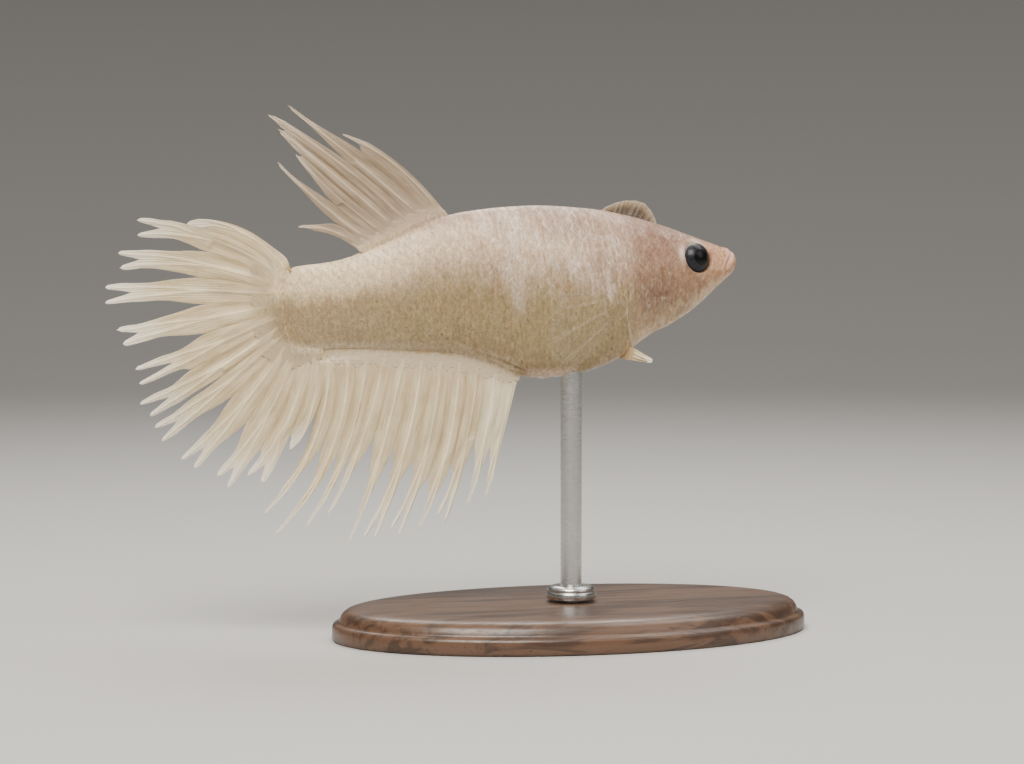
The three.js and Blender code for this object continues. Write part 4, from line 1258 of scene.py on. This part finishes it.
def rayLine(ray, u):
    root, tip = np.array(ray["root"], float), np.array(ray["tip"], float)
    way = tip - root
    knee = (root + tip) / 2 + np.array([-way[1], way[0]]) * 2 * ray["bow"]
    u = u[:, None]
    return root * (1 - u) ** 2 + knee * 2 * u * (1 - u) + tip * u**2


def leftward(line):
    way = np.gradient(line, axis=0)
    way /= np.linalg.norm(way, axis=1, keepdims=True)
    return np.stack([-way[:, 1], way[:, 0]], axis=-1)


def halfPetal(rays, i, side, size, u, lines):
    # one side of one ray: its inner and outer border, row by row. Left is side 1, towards ray i - 1.
    ray, line = rays[i], lines[i]
    sideways = leftward(line) * side
    length = rayLength(ray)
    other, fork = i - side, ray["fork"]
    webs = [rays[j]["web"] for j in (i - 1, i) if 0 <= j < len(rays) - 1]
    start = min(finBuild["lobeUpTo"], max(webs))
    byRay, bySide = finBuild["wobbleTurns"]
    wobble = np.sin(u * finBuild["wobbleSpeed"] + i * byRay + side * bySide)
    wobble = wobble * smoothStep(u, start, start + finBuild["wobbleFade"])
    half = np.full(len(u), float(size["lobe"]))
    if fork >= 1:
        half += (size["tip"] - size["lobe"]) * np.clip((u - start) / (1 - start), 0, 1)
    half *= 1 + finBuild["wobble"] * wobble
    if 0 <= other < len(rays):
        # a web joins it to its neighbour, as far as their shared notch
        last = int(np.abs(u - rays[min(i, other)]["web"]).argmin())
        middle = (line + lines[other]) / 2
        narrowing = max(min(fork, 1.0) - u[last], 0.01) * size.get("narrowing", finBuild["narrowing"])
        t = smoothStep(u, u[last], u[last] + narrowing)[:, None]
        notch = middle[last] - line[last]
        outer = np.where(np.arange(len(u))[:, None] <= last, middle,
                         line + notch * (1 - t) + sideways * half[:, None] * t)
    else:
        last = -1
        edge = np.minimum(size["edge"], half + size["edge"] * smoothStep(1 - u, *finBuild["edgeFade"]))
        flare, reach = size.get("firstFlare" if side > 0 else "lastFlare", (0, 1))
        edge = edge + flare * bell(u * length, reach) * smoothStep(u * length, *finBuild["flareFade"])
        outer = line + sideways * edge[:, None]
    inner = line.copy()
    if fork < 1:
        t = np.clip((u - fork) / (1 - fork), 0, 1)
        innerOff = (size["spread"] - size["tip"]) * t ** finBuild["splitPower"]
        bulge = finBuild["splitBulge"] * np.sin(math.pi * t)
        outerOff = half + (size["spread"] + size["tip"] - half) * t + bulge
        past = (u > fork)[:, None]
        inner = np.where(past, line + sideways * innerOff[:, None], inner)
        outer = np.where(past, line + sideways * outerOff[:, None], outer)
    # the lobe's end is drawn in to a rounded tip, but a web that runs to the edge is left whole
    ending = finBuild["roundEnd"] / length
    stop = finBuild["stop"] + finBuild["stopUneven"] * math.sin(3 * i + 2 * side)
    gone = np.clip((u - stop + ending) / ending, 0, 1) if ray["web"] < 1 else np.zeros(len(u))
    left = np.sqrt(1 - gone**2)[:, None]
    centre = (inner + outer) / 2 if fork < 1 else inner
    return centre + (inner - centre) * left, centre + (outer - centre) * left, last


def rayLength(ray):
    return np.linalg.norm(np.array(ray["tip"]) - np.array(ray["root"]))


def rayBranch(ray, u, size):
    # how far each half of a ray has turned from its middle line
    fork = min(ray["fork"], 1.0)
    early = finBuild["earlyBranch"] * smoothStep(u, size["branch"], fork)
    late = (1 - finBuild["earlyBranch"]) * np.clip((u - fork) / (1.001 - fork), 0, 1)
    return size["spread"] * (early + late)


def finSheet(rays, size, wave):
    # the whole fin as one thin closed sheet: its points, faces, marks and places on the bake map
    n = finBuild["columns"]
    u = np.linspace(size.get("inside", finBuild["inside"]), 1, finBuild["rows"] + 1)
    rootSmooth = size.get("rootSmooth", finBuild["rootSmooth"])
    lines = [rayLine(ray, u) for ray in rays]
    points, faces = [], []
    marks = {"ray": [], "out": [], "alongRay": [], "offRay": [], "valley": [], "billow": [], "buried": []}
    share = np.linspace(0, 1, n + 1)
    for i, ray in enumerate(rays):
        length = rayLength(ray)
        for side in (1, -1):
            inner, outer, last = halfPetal(rays, i, side, size, u, lines)
            grid = inner[:, None] + (outer - inner)[:, None] * share[None, :, None]
            off = np.linalg.norm(grid - lines[i][:, None], axis=-1)
            uu = np.repeat(u[:, None], n + 1, axis=1)
            # a ray, and past its branching two, as low ridges
            width = finBuild["rayWidth"] + (finBuild["rayTipWidth"] - finBuild["rayWidth"]) * uu
            grown = smoothStep(uu * length, 0, rootSmooth)
            marks["ray"].append(bell(off - rayBranch(ray, uu, size), width) * grown)
            marks["out"].append(uu)
            marks["buried"].append(np.sqrt(np.clip(1 - uu / u[0], 0, 1)))
            marks["alongRay"].append(uu * length)
            marks["offRay"].append(off * side + finBuild["rayApart"] * i)
            marks["valley"].append(np.broadcast_to(share, grid.shape[:2]))
            onWeb = (np.arange(len(u)) <= last)[:, None]
            end = max(ray["web"], finBuild["billowUpTo"])
            swelling = smoothStep(uu, *finBuild["billowFrom"])
            swelling = swelling * (1 - smoothStep(uu, end - finBuild["billowEnd"], end)) * onWeb
            marks["billow"].append((-1) ** i * side * np.sin(math.pi * share)[None, :] * swelling)
            faces.append(gridFaces(len(u), n + 1, start=len(points) * len(u) * (n + 1)))
            points.append(grid)
    points = np.array(points).reshape(-1, 2)
    faces = np.vstack(faces)
    marks = {key: np.array(values).reshape(-1) for key, values in marks.items()}
    # weld the borders that neighbours share
    keys = np.round(points * finBuild["weld"]).astype(np.int64)
    first, back = np.unique(keys, axis=0, return_index=True, return_inverse=True)[1:]
    points = points[first]
    marks = {key: values[first] for key, values in marks.items()}
    faces = back.reshape(-1)[faces]
    kept = []
    for face in faces.tolist():
        clean = [a for a, b in zip(face, face[1:] + face[:1]) if a != b]
        if len(set(clean)) == len(clean) > 2:
            kept.append(clean)
    seen = {}
    for face in kept:
        for a, b in zip(face, face[1:] + face[:1]):
            key = (a, b) if a < b else (b, a)
            seen[key] = seen.get(key, 0) + 1
    border = [key for key, times in seen.items() if times == 1]
    onBorder = np.zeros(len(points), bool)
    onBorder[np.array(border).ravel()] = True
    distance = marks["alongRay"]
    ridge = finBuild["ray"] + (finBuild["rayTip"] - finBuild["ray"]) * marks["out"]
    thick = finBuild["web"] + ridge * size.get("ridge", 1) * marks["ray"]
    thick = thick + size["rootHalf"] * np.exp(-np.maximum(distance, 0) / finBuild["rootReach"])
    thick = np.where(onBorder & (distance > finBuild["bareFrom"]), finBuild["margin"], thick)
    # the part inside the body thins out, so that the fin comes up through the skin
    thick = np.maximum(thick * np.minimum(1, marks.pop("buried")), finBuild["innermost"])
    middle = wave(points) + marks.pop("billow") * finBuild["billow"] * size.get("billow", 1)
    upper = np.stack([points[:, 0], middle + thick, points[:, 1]], axis=-1)
    lower = np.stack([points[:, 0], middle - thick, points[:, 1]], axis=-1)
    count = len(points)
    allFaces = kept + [[a + count for a in reversed(face)] for face in kept]
    allFaces += [[a, b, b + count, a + count] for a, b in border]
    low, high = points.min(0), points.max(0)
    flat = (points - low) / (high - low).max() * finBuild["mapSize"]
    spots = np.vstack([flat, flat + [0.5, 0.5]])
    marks = {key: np.concatenate([values, values]) for key, values in marks.items()}
    return np.vstack([upper, lower]), allFaces, 2 * len(kept), marks, spots


def rippled(wave):
    def height(points):
        away = points - np.array(wave["centre"])
        share = np.minimum(1, np.linalg.norm(away, axis=1) / wave["reach"])
        return wave["height"] * share**2 * np.sin(wave["turns"] * 2 * np.arctan2(away[:, 1], away[:, 0]))
    return height


def makeFin(name, points, faces, sheetFaces, marks, spots, finish):
    marks["fishPlace"] = points
    corners = spots[[corner for face in faces for corner in face]]
    strips = np.arange(sheetFaces, len(faces))
    makePiece(name + "_live", intoRow(points), faces, finish, (name,), marks, corners, strips)


def rayOf(fin, i, root, fork=1):
    return {"root": root, "tip": fin["tips"][i], "bow": fin["bow"][i], "web": fin["web"][i], "fork": fork}


def bodyEdge(s, name, gap):
    # a place just off the body's outline, on its back or on its belly
    return (s, float(between(np.array(s), name)) + gap)


def tailRays():
    # the lowest rays start under the tail stalk, the others round its end
    roots = [bodyEdge(s, "belly", -tailFin["gap"]) for s in tailFin["underStalk"]]
    heights = np.linspace(tailFin["rootLowest"], tailFin["rootReach"], len(tailFin["tips"]) - len(roots))
    stalkEnd = tailFin["gap"] - fish["stations"][0]
    roots += [(-stalkEnd * math.sqrt(1 - (z / tailFin["stalkReach"]) ** 2), z) for z in heights]
    return [rayOf(tailFin, i, root, tailFin["fork"][i]) for i, root in enumerate(roots)]


def analRays():
    places = np.linspace(analFin["rootFront"], analFin["rootRear"], len(analFin["tips"]))
    roots = [bodyEdge(s, "belly", -analFin["gap"]) for s in places]
    forks = [analFin["fork"] if i in analFin["forked"] else 1 for i in range(len(roots))]
    return [rayOf(analFin, i, root, fork) for i, (root, fork) in enumerate(zip(roots, forks))]


def dorsalRays():
    roots = [bodyEdge(s, "back", dorsalFin["gap"]) for s in dorsalFin["roots"]]
    return [rayOf(dorsalFin, i, root) for i, root in enumerate(roots)]


def fanRays(shape):
    rays = []
    for i in range(shape["rays"]):
        share = 1 - 2 * i / (shape["rays"] - 1)
        angle = math.radians(share * shape["fan"] / 2)
        length = shape["length"] * (1 - shape["roundness"] * abs(share) ** 1.5)
        root = (0, share * shape["rootHeight"] / 2)
        tip = (math.cos(angle) * length, root[1] + math.sin(angle) * length)
        rays.append({"root": root, "tip": tip, "bow": 0, "web": shape["web"], "fork": 1})
    return rays


def turned(points, axis, degrees):
    first, second = ((1, 2), (2, 0), (0, 1))[axis]
    c, s = math.cos(math.radians(degrees)), math.sin(math.radians(degrees))
    result = points.copy()
    result[:, first] = points[:, first] * c - points[:, second] * s
    result[:, second] = points[:, first] * s + points[:, second] * c
    return result


def setOnBody(points, place, side):
    points = turned(points, 1, -place["rise"])
    points = turned(points, 0, -side * place["lean"])
    ahead = 1 if math.cos(math.radians(place["rise"])) > 0 else -1
    points = turned(points, 2, side * place["splay"] * ahead)
    return points + np.array(place["root"])


creamTones = {
    "web": (0.66, 0.52, 0.315), "ray": (0.92, 0.77, 0.51), "tip": (1.0, 0.92, 0.77),
    "shade": (0.78, 0.73, 0.65), "root": (0.5, 0.36, 0.18), "rootReach": 4.0, "rootBand": (-1.2, 2.4, 0.9),
    "rayCover": 1.0, "streakCover": 0.45, "tipCover": 0.85, "start": (0.46, 0.33, 0.16),
}
greyTones = {
    "web": (0.36, 0.275, 0.18), "ray": (0.58, 0.46, 0.32), "tip": (0.66, 0.55, 0.42),
    "shade": (0.76, 0.7, 0.62), "root": (0.5, 0.38, 0.25), "rootReach": 2.6, "rootBand": (0, 30, 1),
    "rayCover": 0.95, "streakCover": 0.45, "tipCover": 0.7, "start": (0.62, 0.46, 0.3),
}
clearTones = {
    "web": (0.5, 0.4, 0.28), "ray": (0.56, 0.46, 0.34), "tip": (0.6, 0.5, 0.38),
    "shade": (0.9, 0.85, 0.8), "root": (0.5, 0.36, 0.24), "rootReach": 2.0, "rootBand": (-20, 20, 1),
    "rayCover": 0.12, "streakCover": 0.04, "tipCover": 0.05, "start": (0.5, 0.36, 0.24),
}
# the left pectoral fin, on the far side: the clear fin again, with painted shade darkening it, and a paler
# tip
shadedClearTones = {**clearTones, "web": (0.13, 0.095, 0.065), "ray": (0.2, 0.15, 0.1), "rayCover": 0.6,
              "streakCover": 0.35, "tipCover": 0.9, "tip": (0.5, 0.4, 0.28), "tipFrom": 0.9}
bellyTones = {**creamTones, "rootReach": 0.6, "rootBand": (-30, 0, 1), "frontShare": 1.0}
creamWeb = finFinish("creamFin", creamTones, 0.3)
bellyWeb = finFinish("creamBellyFin", bellyTones, 0.3)
greyWeb = finFinish("paleBackFin", greyTones, 0.45)
clearWeb = finFinish("clearFin", clearTones, 0.96, 0.85)
shadedClearWeb = finFinish("shadedClearFin", shadedClearTones, 0.55, 0.6)


rootScales = {
    "tail": {"across": 14, "rows": 11, "first": -1.1, "step": 0.42, "shrink": 0.03, "length": 1.5,
             "width": 0.68, "deepest": 3.2, "toFin": (0.0, 2.6), "lower": 0.08},
    "anal": {"across": 23, "rows": 4, "first": -0.37, "step": 0.42, "shrink": 0.07, "length": 1.3,
             "width": 0.67, "deepest": 1.0, "toFin": (-0.3, 0.4), "lower": 1},
    "dorsal": {"across": 10, "rows": 4, "first": -0.37, "step": 0.4, "shrink": 0.07, "length": 1.2,
               "width": 0.67, "deepest": 1.0, "toFin": (-0.2, 1.0), "lower": 1},
    "endShare": 0.4,                 # how deep they reach at the fin's first and last rays
    "lowerUpTo": 0.45,               # lower is the share of the depth at the first ray, growing up to here
    "raggedness": (0.7, 0.6),        # the least reach, and how much chance adds
    "relief": 0.55,
    "lift": (0.7, 0.3),              # the least share of a scale's lift, and how much its size adds
    "shortest": 0.4,                 # way over which the body's colour gives way to the fin's
    "beyond": 0.25,                  # how far past the outer rays a scale may go
    "mapSize": 0.45, "mapEdge": 0.02,
}


def finPlace(rays, number, distance):
    # a place on a fin, by ray number with fractions and distance from the roots
    root, tip = (np.array([ray[end] for ray in rays], float) for end in ("root", "tip"))
    way = tip - root
    bow = np.array([ray["bow"] for ray in rays])[:, None]
    knee = (root + tip) / 2 + np.stack([-way[:, 1], way[:, 0]], axis=-1) * 2 * bow
    i = np.clip(np.floor(number).astype(int), 0, len(rays) - 2)
    ends = []
    for j in (i, i + 1):
        u = (distance / np.linalg.norm(way, axis=1)[j])[..., None]
        ends.append(root[j] * (1 - u) ** 2 + knee[j] * 2 * u * (1 - u) + tip[j] * u**2)
    share = (number - i)[..., None]
    return ends[0] * (1 - share) + ends[1] * share


def makeRootScales(name, layout, rays, size, wave, finish):
    # the body's scales run on over the root of a fin, smaller and smaller
    rng = np.random.default_rng(scales["seed"])
    least, added = rootScales["raggedness"]
    lowerUpTo = rootScales["lowerUpTo"]
    starts = []
    last = len(rays) - 1
    for row in range(layout["rows"]):
        distance = layout["first"] + row * layout["step"] * (1 - layout["shrink"] * row / 2)
        for k in range(layout["across"] + 1):
            share = (k + 0.5 * (row % 2)) / layout["across"]
            reach = layout["deepest"] * (1 - (1 - rootScales["endShare"]) * (2 * share - 1) ** 2)
            reach *= least + added * rng.random()
            reach *= layout["lower"] + (1 - layout["lower"]) * min(1, share / lowerUpTo)
            if share <= 1 and distance < reach:
                starts.append((share * last, distance, 1 - layout["shrink"] * row))
    p, q, outline, back = scaleGrid()
    number0, distance0, share = np.array(starts).T[:, :, None, None]
    chance = rng.random((len(starts), 2))
    distance = distance0 + back * layout["length"] * share
    number = number0 + q * outline * layout["width"] * share * last / layout["across"]
    beyond = rootScales["beyond"]
    places = finPlace(rays, np.clip(number, -beyond, last + beyond), distance)
    flat = places.reshape(-1, 2)
    middle = wave(flat).reshape(places.shape[:-1])
    fading = np.exp(-np.maximum(distance, 0) / finBuild["rootReach"])
    surface = finBuild["web"] + size["rootHalf"] * fading
    surface = surface * np.sqrt(np.clip(1 + distance, 0, 1))
    surface = np.maximum(surface, skinHalf(places[..., 0], places[..., 1]))
    leastLift, addedLift = rootScales["lift"]
    lift = scales["lift"] * (leastLift + addedLift * share) * uneven("lift", chance[:, :1, None])
    heights = [rootScales["relief"] * height for height in scaleHeights(p, q, outline, lift)]
    # the body's colour gives way to the fin's, sooner at the fin's lower end
    start, end = layout["toFin"]
    ease = layout["lower"] + (1 - layout["lower"]) * np.clip(number / last / lowerUpTo, 0, 1)
    end = np.maximum(end * ease, start + rootScales["shortest"])
    onFin = {"onFin": smoothStep(distance, start, end)}
    low, high = flat.min(0), flat.max(0)
    centre = finPlace(rays, number0[:, 0, 0], distance0[:, 0, 0])
    where = (centre - low) / (high - low).max() * rootScales["mapSize"] + rootScales["mapEdge"]
    for sideName, side in (("right", -1), ("left", 1)):
        sheets = [np.stack([places[..., 0], middle + side * (surface + height), places[..., 1]], axis=-1)
                  for height in heights]
        spot = where + [0.5 * (side > 0), 0]
        joinScales(name + "_" + sideName, *sheets, spot, p, q, chance[:, 1], finish, onFin)


makeFin("tail_fin", *finSheet(tailRays(), tailFin, rippled(tailFin["wave"])), creamWeb)
bellyScales = scaleFinish("bellyFinScales", markings["bellyFinBase"])
backScales = scaleFinish("backFinScales", markings["backFinBase"])
scaledFins = {
    "tail": (tailRays(), tailFin, scaleMaterial),
    "anal": (analRays(), analFin, bellyScales),
    "dorsal": (dorsalRays(), dorsalFin, backScales),
}
for name, (rays, fin, finish) in scaledFins.items():
    makeRootScales(name + "_root_scales", rootScales[name], rays, fin, rippled(fin["wave"]), finish)
makeFin("anal_fin", *finSheet(analRays(), analFin, rippled(analFin["wave"])), bellyWeb)
makeFin("dorsal_fin", *finSheet(dorsalRays(), dorsalFin, rippled(dorsalFin["wave"])), greyWeb)
for fin, name, finishes in ((pectoralFin, "pectoral_fin", (clearWeb, shadedClearWeb)),
                            (pelvicFin, "pelvic_fin", (creamWeb, creamWeb))):
    for sideName, side, finish in (("right", -1, finishes[0]), ("left", 1, finishes[1])):
        shape = {**fin, **fin[sideName]}
        points, *rest = finSheet(fanRays(shape), shape, lambda p: 0 * p[:, 0])
        makeFin(name + "_" + sideName, setOnBody(points, shape, side), *rest, finish)


# eyes

eyeball = {
    "rings": 56, "turns": 96,
    "lensRise": 0.05, "lensWidth": 0.5,                  # the lens shows as a slightly fuller middle
    "silver": (150, 75), "brass": (88, 55),              # where on the rim, and how far, in degrees
}


def makeEye(side, name, finish):
    turns = eyeball["turns"]
    polar = np.linspace(0, math.pi, eyeball["rings"] + 1)[1:-1]
    ring, rise = np.sin(polar), np.cos(polar)
    outer = rise > 0
    height = eye["depth"] * rise + eyeball["lensRise"] * bell(ring, eyeball["lensWidth"]) * outer
    row, clock = np.meshgrid(np.arange(len(polar)), np.arange(turns) * 2 * math.pi / turns, indexing="ij")
    out = eye["radius"] * ring[row]
    points = np.stack([out * np.cos(clock), side * height[row], out * np.sin(clock)], axis=-1).reshape(-1, 3)
    front = eye["depth"] + eyeball["lensRise"]
    points = np.vstack([points, [0, side * front, 0], [0, -side * eye["depth"], 0]])
    marks = {"ring": np.append(np.where(outer, ring, 1.0)[row].ravel(), [0, 1]),
             "clock": np.append(clock.ravel(), [0, 0])}
    for tone in ("silver", "brass"):
        middle, reach = eyeball[tone]
        near = np.clip(1 - np.abs(turnFrom(np.degrees(clock), middle)) / reach, 0, 1)
        marks[tone] = np.append(near.ravel(), [0, 0])
    points = turned(points, 0, side * eye["upward"])
    points = turned(points, 2, -side * eye["forward"])
    points = points + np.array([eye["s"], side * eye["w"], eye["z"]])
    faces = closedRings(len(polar), turns)
    makePiece(name + "_live", intoRow(points), faces, finish, (name,), marks)


eyeMaterial = eyeFinish()
makeEye(-1, "eye_right", eyeMaterial)
makeEye(1, "eye_left", eyeMaterial)


# stand

stand = {
    "baseTurns": 192, "rodTurns": 64, "collarTurns": 96,
    "baseHeight": 3.0,
    # the base from its underside up, as how far in from its outline and how far up, in millimetres
    "base": [(11.0, 0.0), (4.0, 0.0), (0.35, 0.0), (0.08, 0.08), (0.0, 0.3), (0.0, 1.25), (0.1, 1.5),
             (0.34, 1.62), (0.62, 1.68), (0.68, 1.86), (0.8, 2.2), (1.02, 2.5), (1.36, 2.74), (1.8, 2.88),
             (2.3, 2.95), (2.8, 3.0), (6.0, 3.0), (11.0, 3.0)],
    "rodEdge": 0.14, "rodRings": 40,
    "rodEnd": [0.5, 0.86],                  # shares of the rod's radius, at each end
    # the collar outside and then down its bore, as radius and height
    "collar": [(1.06, 0.0), (2.24, 0.0), (2.3, 0.07), (2.3, 0.62), (2.22, 0.7), (2.14, 0.74), (2.22, 0.8),
               (2.24, 0.9), (2.16, 1.08), (1.96, 1.22), (1.7, 1.29), (1.3, 1.3), (1.1, 1.24), (1.06, 1.15)],
}


def circle(turns):
    angle = np.arange(turns) * 2 * math.pi / turns
    return np.stack([np.cos(angle), np.sin(angle)], axis=-1)


def ringsOn(node, turns, profile):
    # rings round a node's upright middle line, each as its half sizes along x and y, and its height
    low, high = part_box(node)
    middle = (low + high) / 2
    around = circle(turns)
    rings = [np.column_stack([around * half + [middle.x, middle.y], np.full(turns, low.z + height)])
             for half, height in profile]
    return np.array(rings)


def turnedPiece(name, rings, finish, node):
    points = np.vstack([rings.reshape(-1, 3), rings[0].mean(0), rings[-1].mean(0)])
    makePiece(name, points, closedRings(*rings.shape[:2]), finish, (node,))


def makeBase(finish):
    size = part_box("stand_base")[1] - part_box("stand_base")[0]
    scale = size.z / stand["baseHeight"]
    profile = [(np.array([size.x, size.y]) / 2 - inset * millimetre, height * scale)
               for inset, height in stand["base"]]
    rings = ringsOn("stand_base", stand["baseTurns"], profile)
    turnedPiece("base_board", rings, finish, "stand_base")


def makeRod(finish):
    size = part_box("stand_rod")[1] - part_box("stand_rod")[0]
    edge = stand["rodEdge"] * millimetre
    profile = [(share, 0) for share in stand["rodEnd"]]
    profile += [(1, height) for height in np.linspace(edge, size.z - edge, stand["rodRings"])]
    profile += [(share, size.z) for share in reversed(stand["rodEnd"])]
    profile = [(share * size.x / 2, height) for share, height in profile]
    rings = ringsOn("stand_rod", stand["rodTurns"], profile)
    turnedPiece("rod_bar", rings, finish, "stand_rod")


def makeCollar(finish):
    turns = stand["collarTurns"]
    profile = [(radius * millimetre, height * millimetre) for radius, height in stand["collar"]]
    rings = ringsOn("stand_collar", turns, profile)
    faces = gridFaces(len(profile), turns, wrap=True).tolist()
    last = (len(profile) - 1) * turns
    faces += [[last + k, last + (k + 1) % turns, (k + 1) % turns, k] for k in range(turns)]
    makePiece("collar_ring", rings.reshape(-1, 3), faces, finish, ("stand_collar",))


wood, steel = woodFinish(), steelFinish()
makeBase(wood)
makeRod(steel)
makeCollar(steel)


# floor, light and camera

studio = {
    "floorFlat": 0.34, "floorRise": 0.5,     # radius of the flat, and of the curve up round it
    "floorRings": [0.002, 0.1, 0.3], "floorSteps": 12, "floorTurn": 7, "floorTurns": 96,
    "air": (1.0, 0.97, 0.93), "airStrength": 0.42,
    # azimuth, elevation, distance, size, watts, colour
    "lamps": [(-32, 50, 0.5, 0.3, 4.2, (1.0, 0.95, 0.88)), (40, 30, 0.7, 0.4, 0.9, (1.0, 0.97, 0.93)),
              (165, 50, 0.55, 0.3, 1.8, (1.0, 0.97, 0.93)), (100, 60, 0.6, 0.3, 1.2, (1.0, 0.97, 0.93))],
}
view = {
    "azimuth": -20, "elevation": 4,
    "distance": 0.35, "lens": 131.7, "sensor": 36, "near": 0.01, "far": 10,
    "aim": (-0.0052, 0.0019, 0.0236),        # from the middle of the stand's underside
}


def awayFrom(middle, azimuth, elevation, distance):
    a, e = math.radians(azimuth), math.radians(elevation)
    return middle + distance * Vector((math.sin(a) * math.cos(e), -math.cos(a) * math.cos(e), math.sin(e)))


def makeFloor():
    flat, rise, turns = studio["floorFlat"], studio["floorRise"], studio["floorTurns"]
    profile = [(radius, 0) for radius in [*studio["floorRings"], flat]]
    for step in range(1, studio["floorSteps"] + 1):
        turn = math.radians(step * studio["floorTurn"])
        profile.append((flat + rise * math.sin(turn), rise * (1 - math.cos(turn))))
    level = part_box("stand_base")[0].z
    rings = np.array([np.column_stack([circle(turns) * radius, np.full(turns, level + height)])
                      for radius, height in profile])
    mesh = bpy.data.meshes.new("floor")
    faces = gridFaces(len(profile), turns, wrap=True).tolist() + [list(range(turns))]
    mesh.from_pydata(rings.reshape(-1, 3).tolist(), [], faces)
    mesh.polygons.foreach_set("use_smooth", [True] * len(mesh.polygons))
    mesh.materials.append(floorFinish())
    floor = bpy.data.objects.new("floor", mesh)
    bpy.context.scene.collection.objects.link(floor)
    turnOutwards(floor)


def makeLights(middle):
    for number, (azimuth, elevation, distance, size, watts, colour) in enumerate(studio["lamps"]):
        data = bpy.data.lights.new(f"lamp{number}", "AREA")
        data.size, data.energy, data.color = size, watts, colour
        lamp = bpy.data.objects.new(f"lamp{number}", data)
        lamp.location = awayFrom(middle, azimuth, elevation, distance)
        lamp.rotation_euler = (middle - lamp.location).to_track_quat("-Z", "Y").to_euler()
        bpy.context.scene.collection.objects.link(lamp)
    world = bpy.data.worlds.new("air")
    bpy.context.scene.world = world
    world.use_nodes = True
    background = world.node_tree.nodes["Background"]
    background.inputs[0].default_value = (*studio["air"], 1)
    background.inputs[1].default_value = studio["airStrength"]


def makeCamera():
    low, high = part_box("stand_base")
    foot = Vector(((low.x + high.x) / 2, (low.y + high.y) / 2, low.z))
    aim = foot + Vector(view["aim"])
    data = bpy.data.cameras.new("camera")
    data.lens, data.sensor_width = view["lens"], view["sensor"]
    data.clip_start, data.clip_end = view["near"], view["far"]
    camera = bpy.data.objects.new("camera", data)
    camera.location = awayFrom(aim, view["azimuth"], view["elevation"], view["distance"])
    camera.rotation_euler = (aim - camera.location).to_track_quat("-Z", "Y").to_euler()
    bpy.context.scene.collection.objects.link(camera)
    bpy.context.scene.camera = camera
    return aim


makeFloor()
makeLights(makeCamera())
print("floor, lights and camera placed")
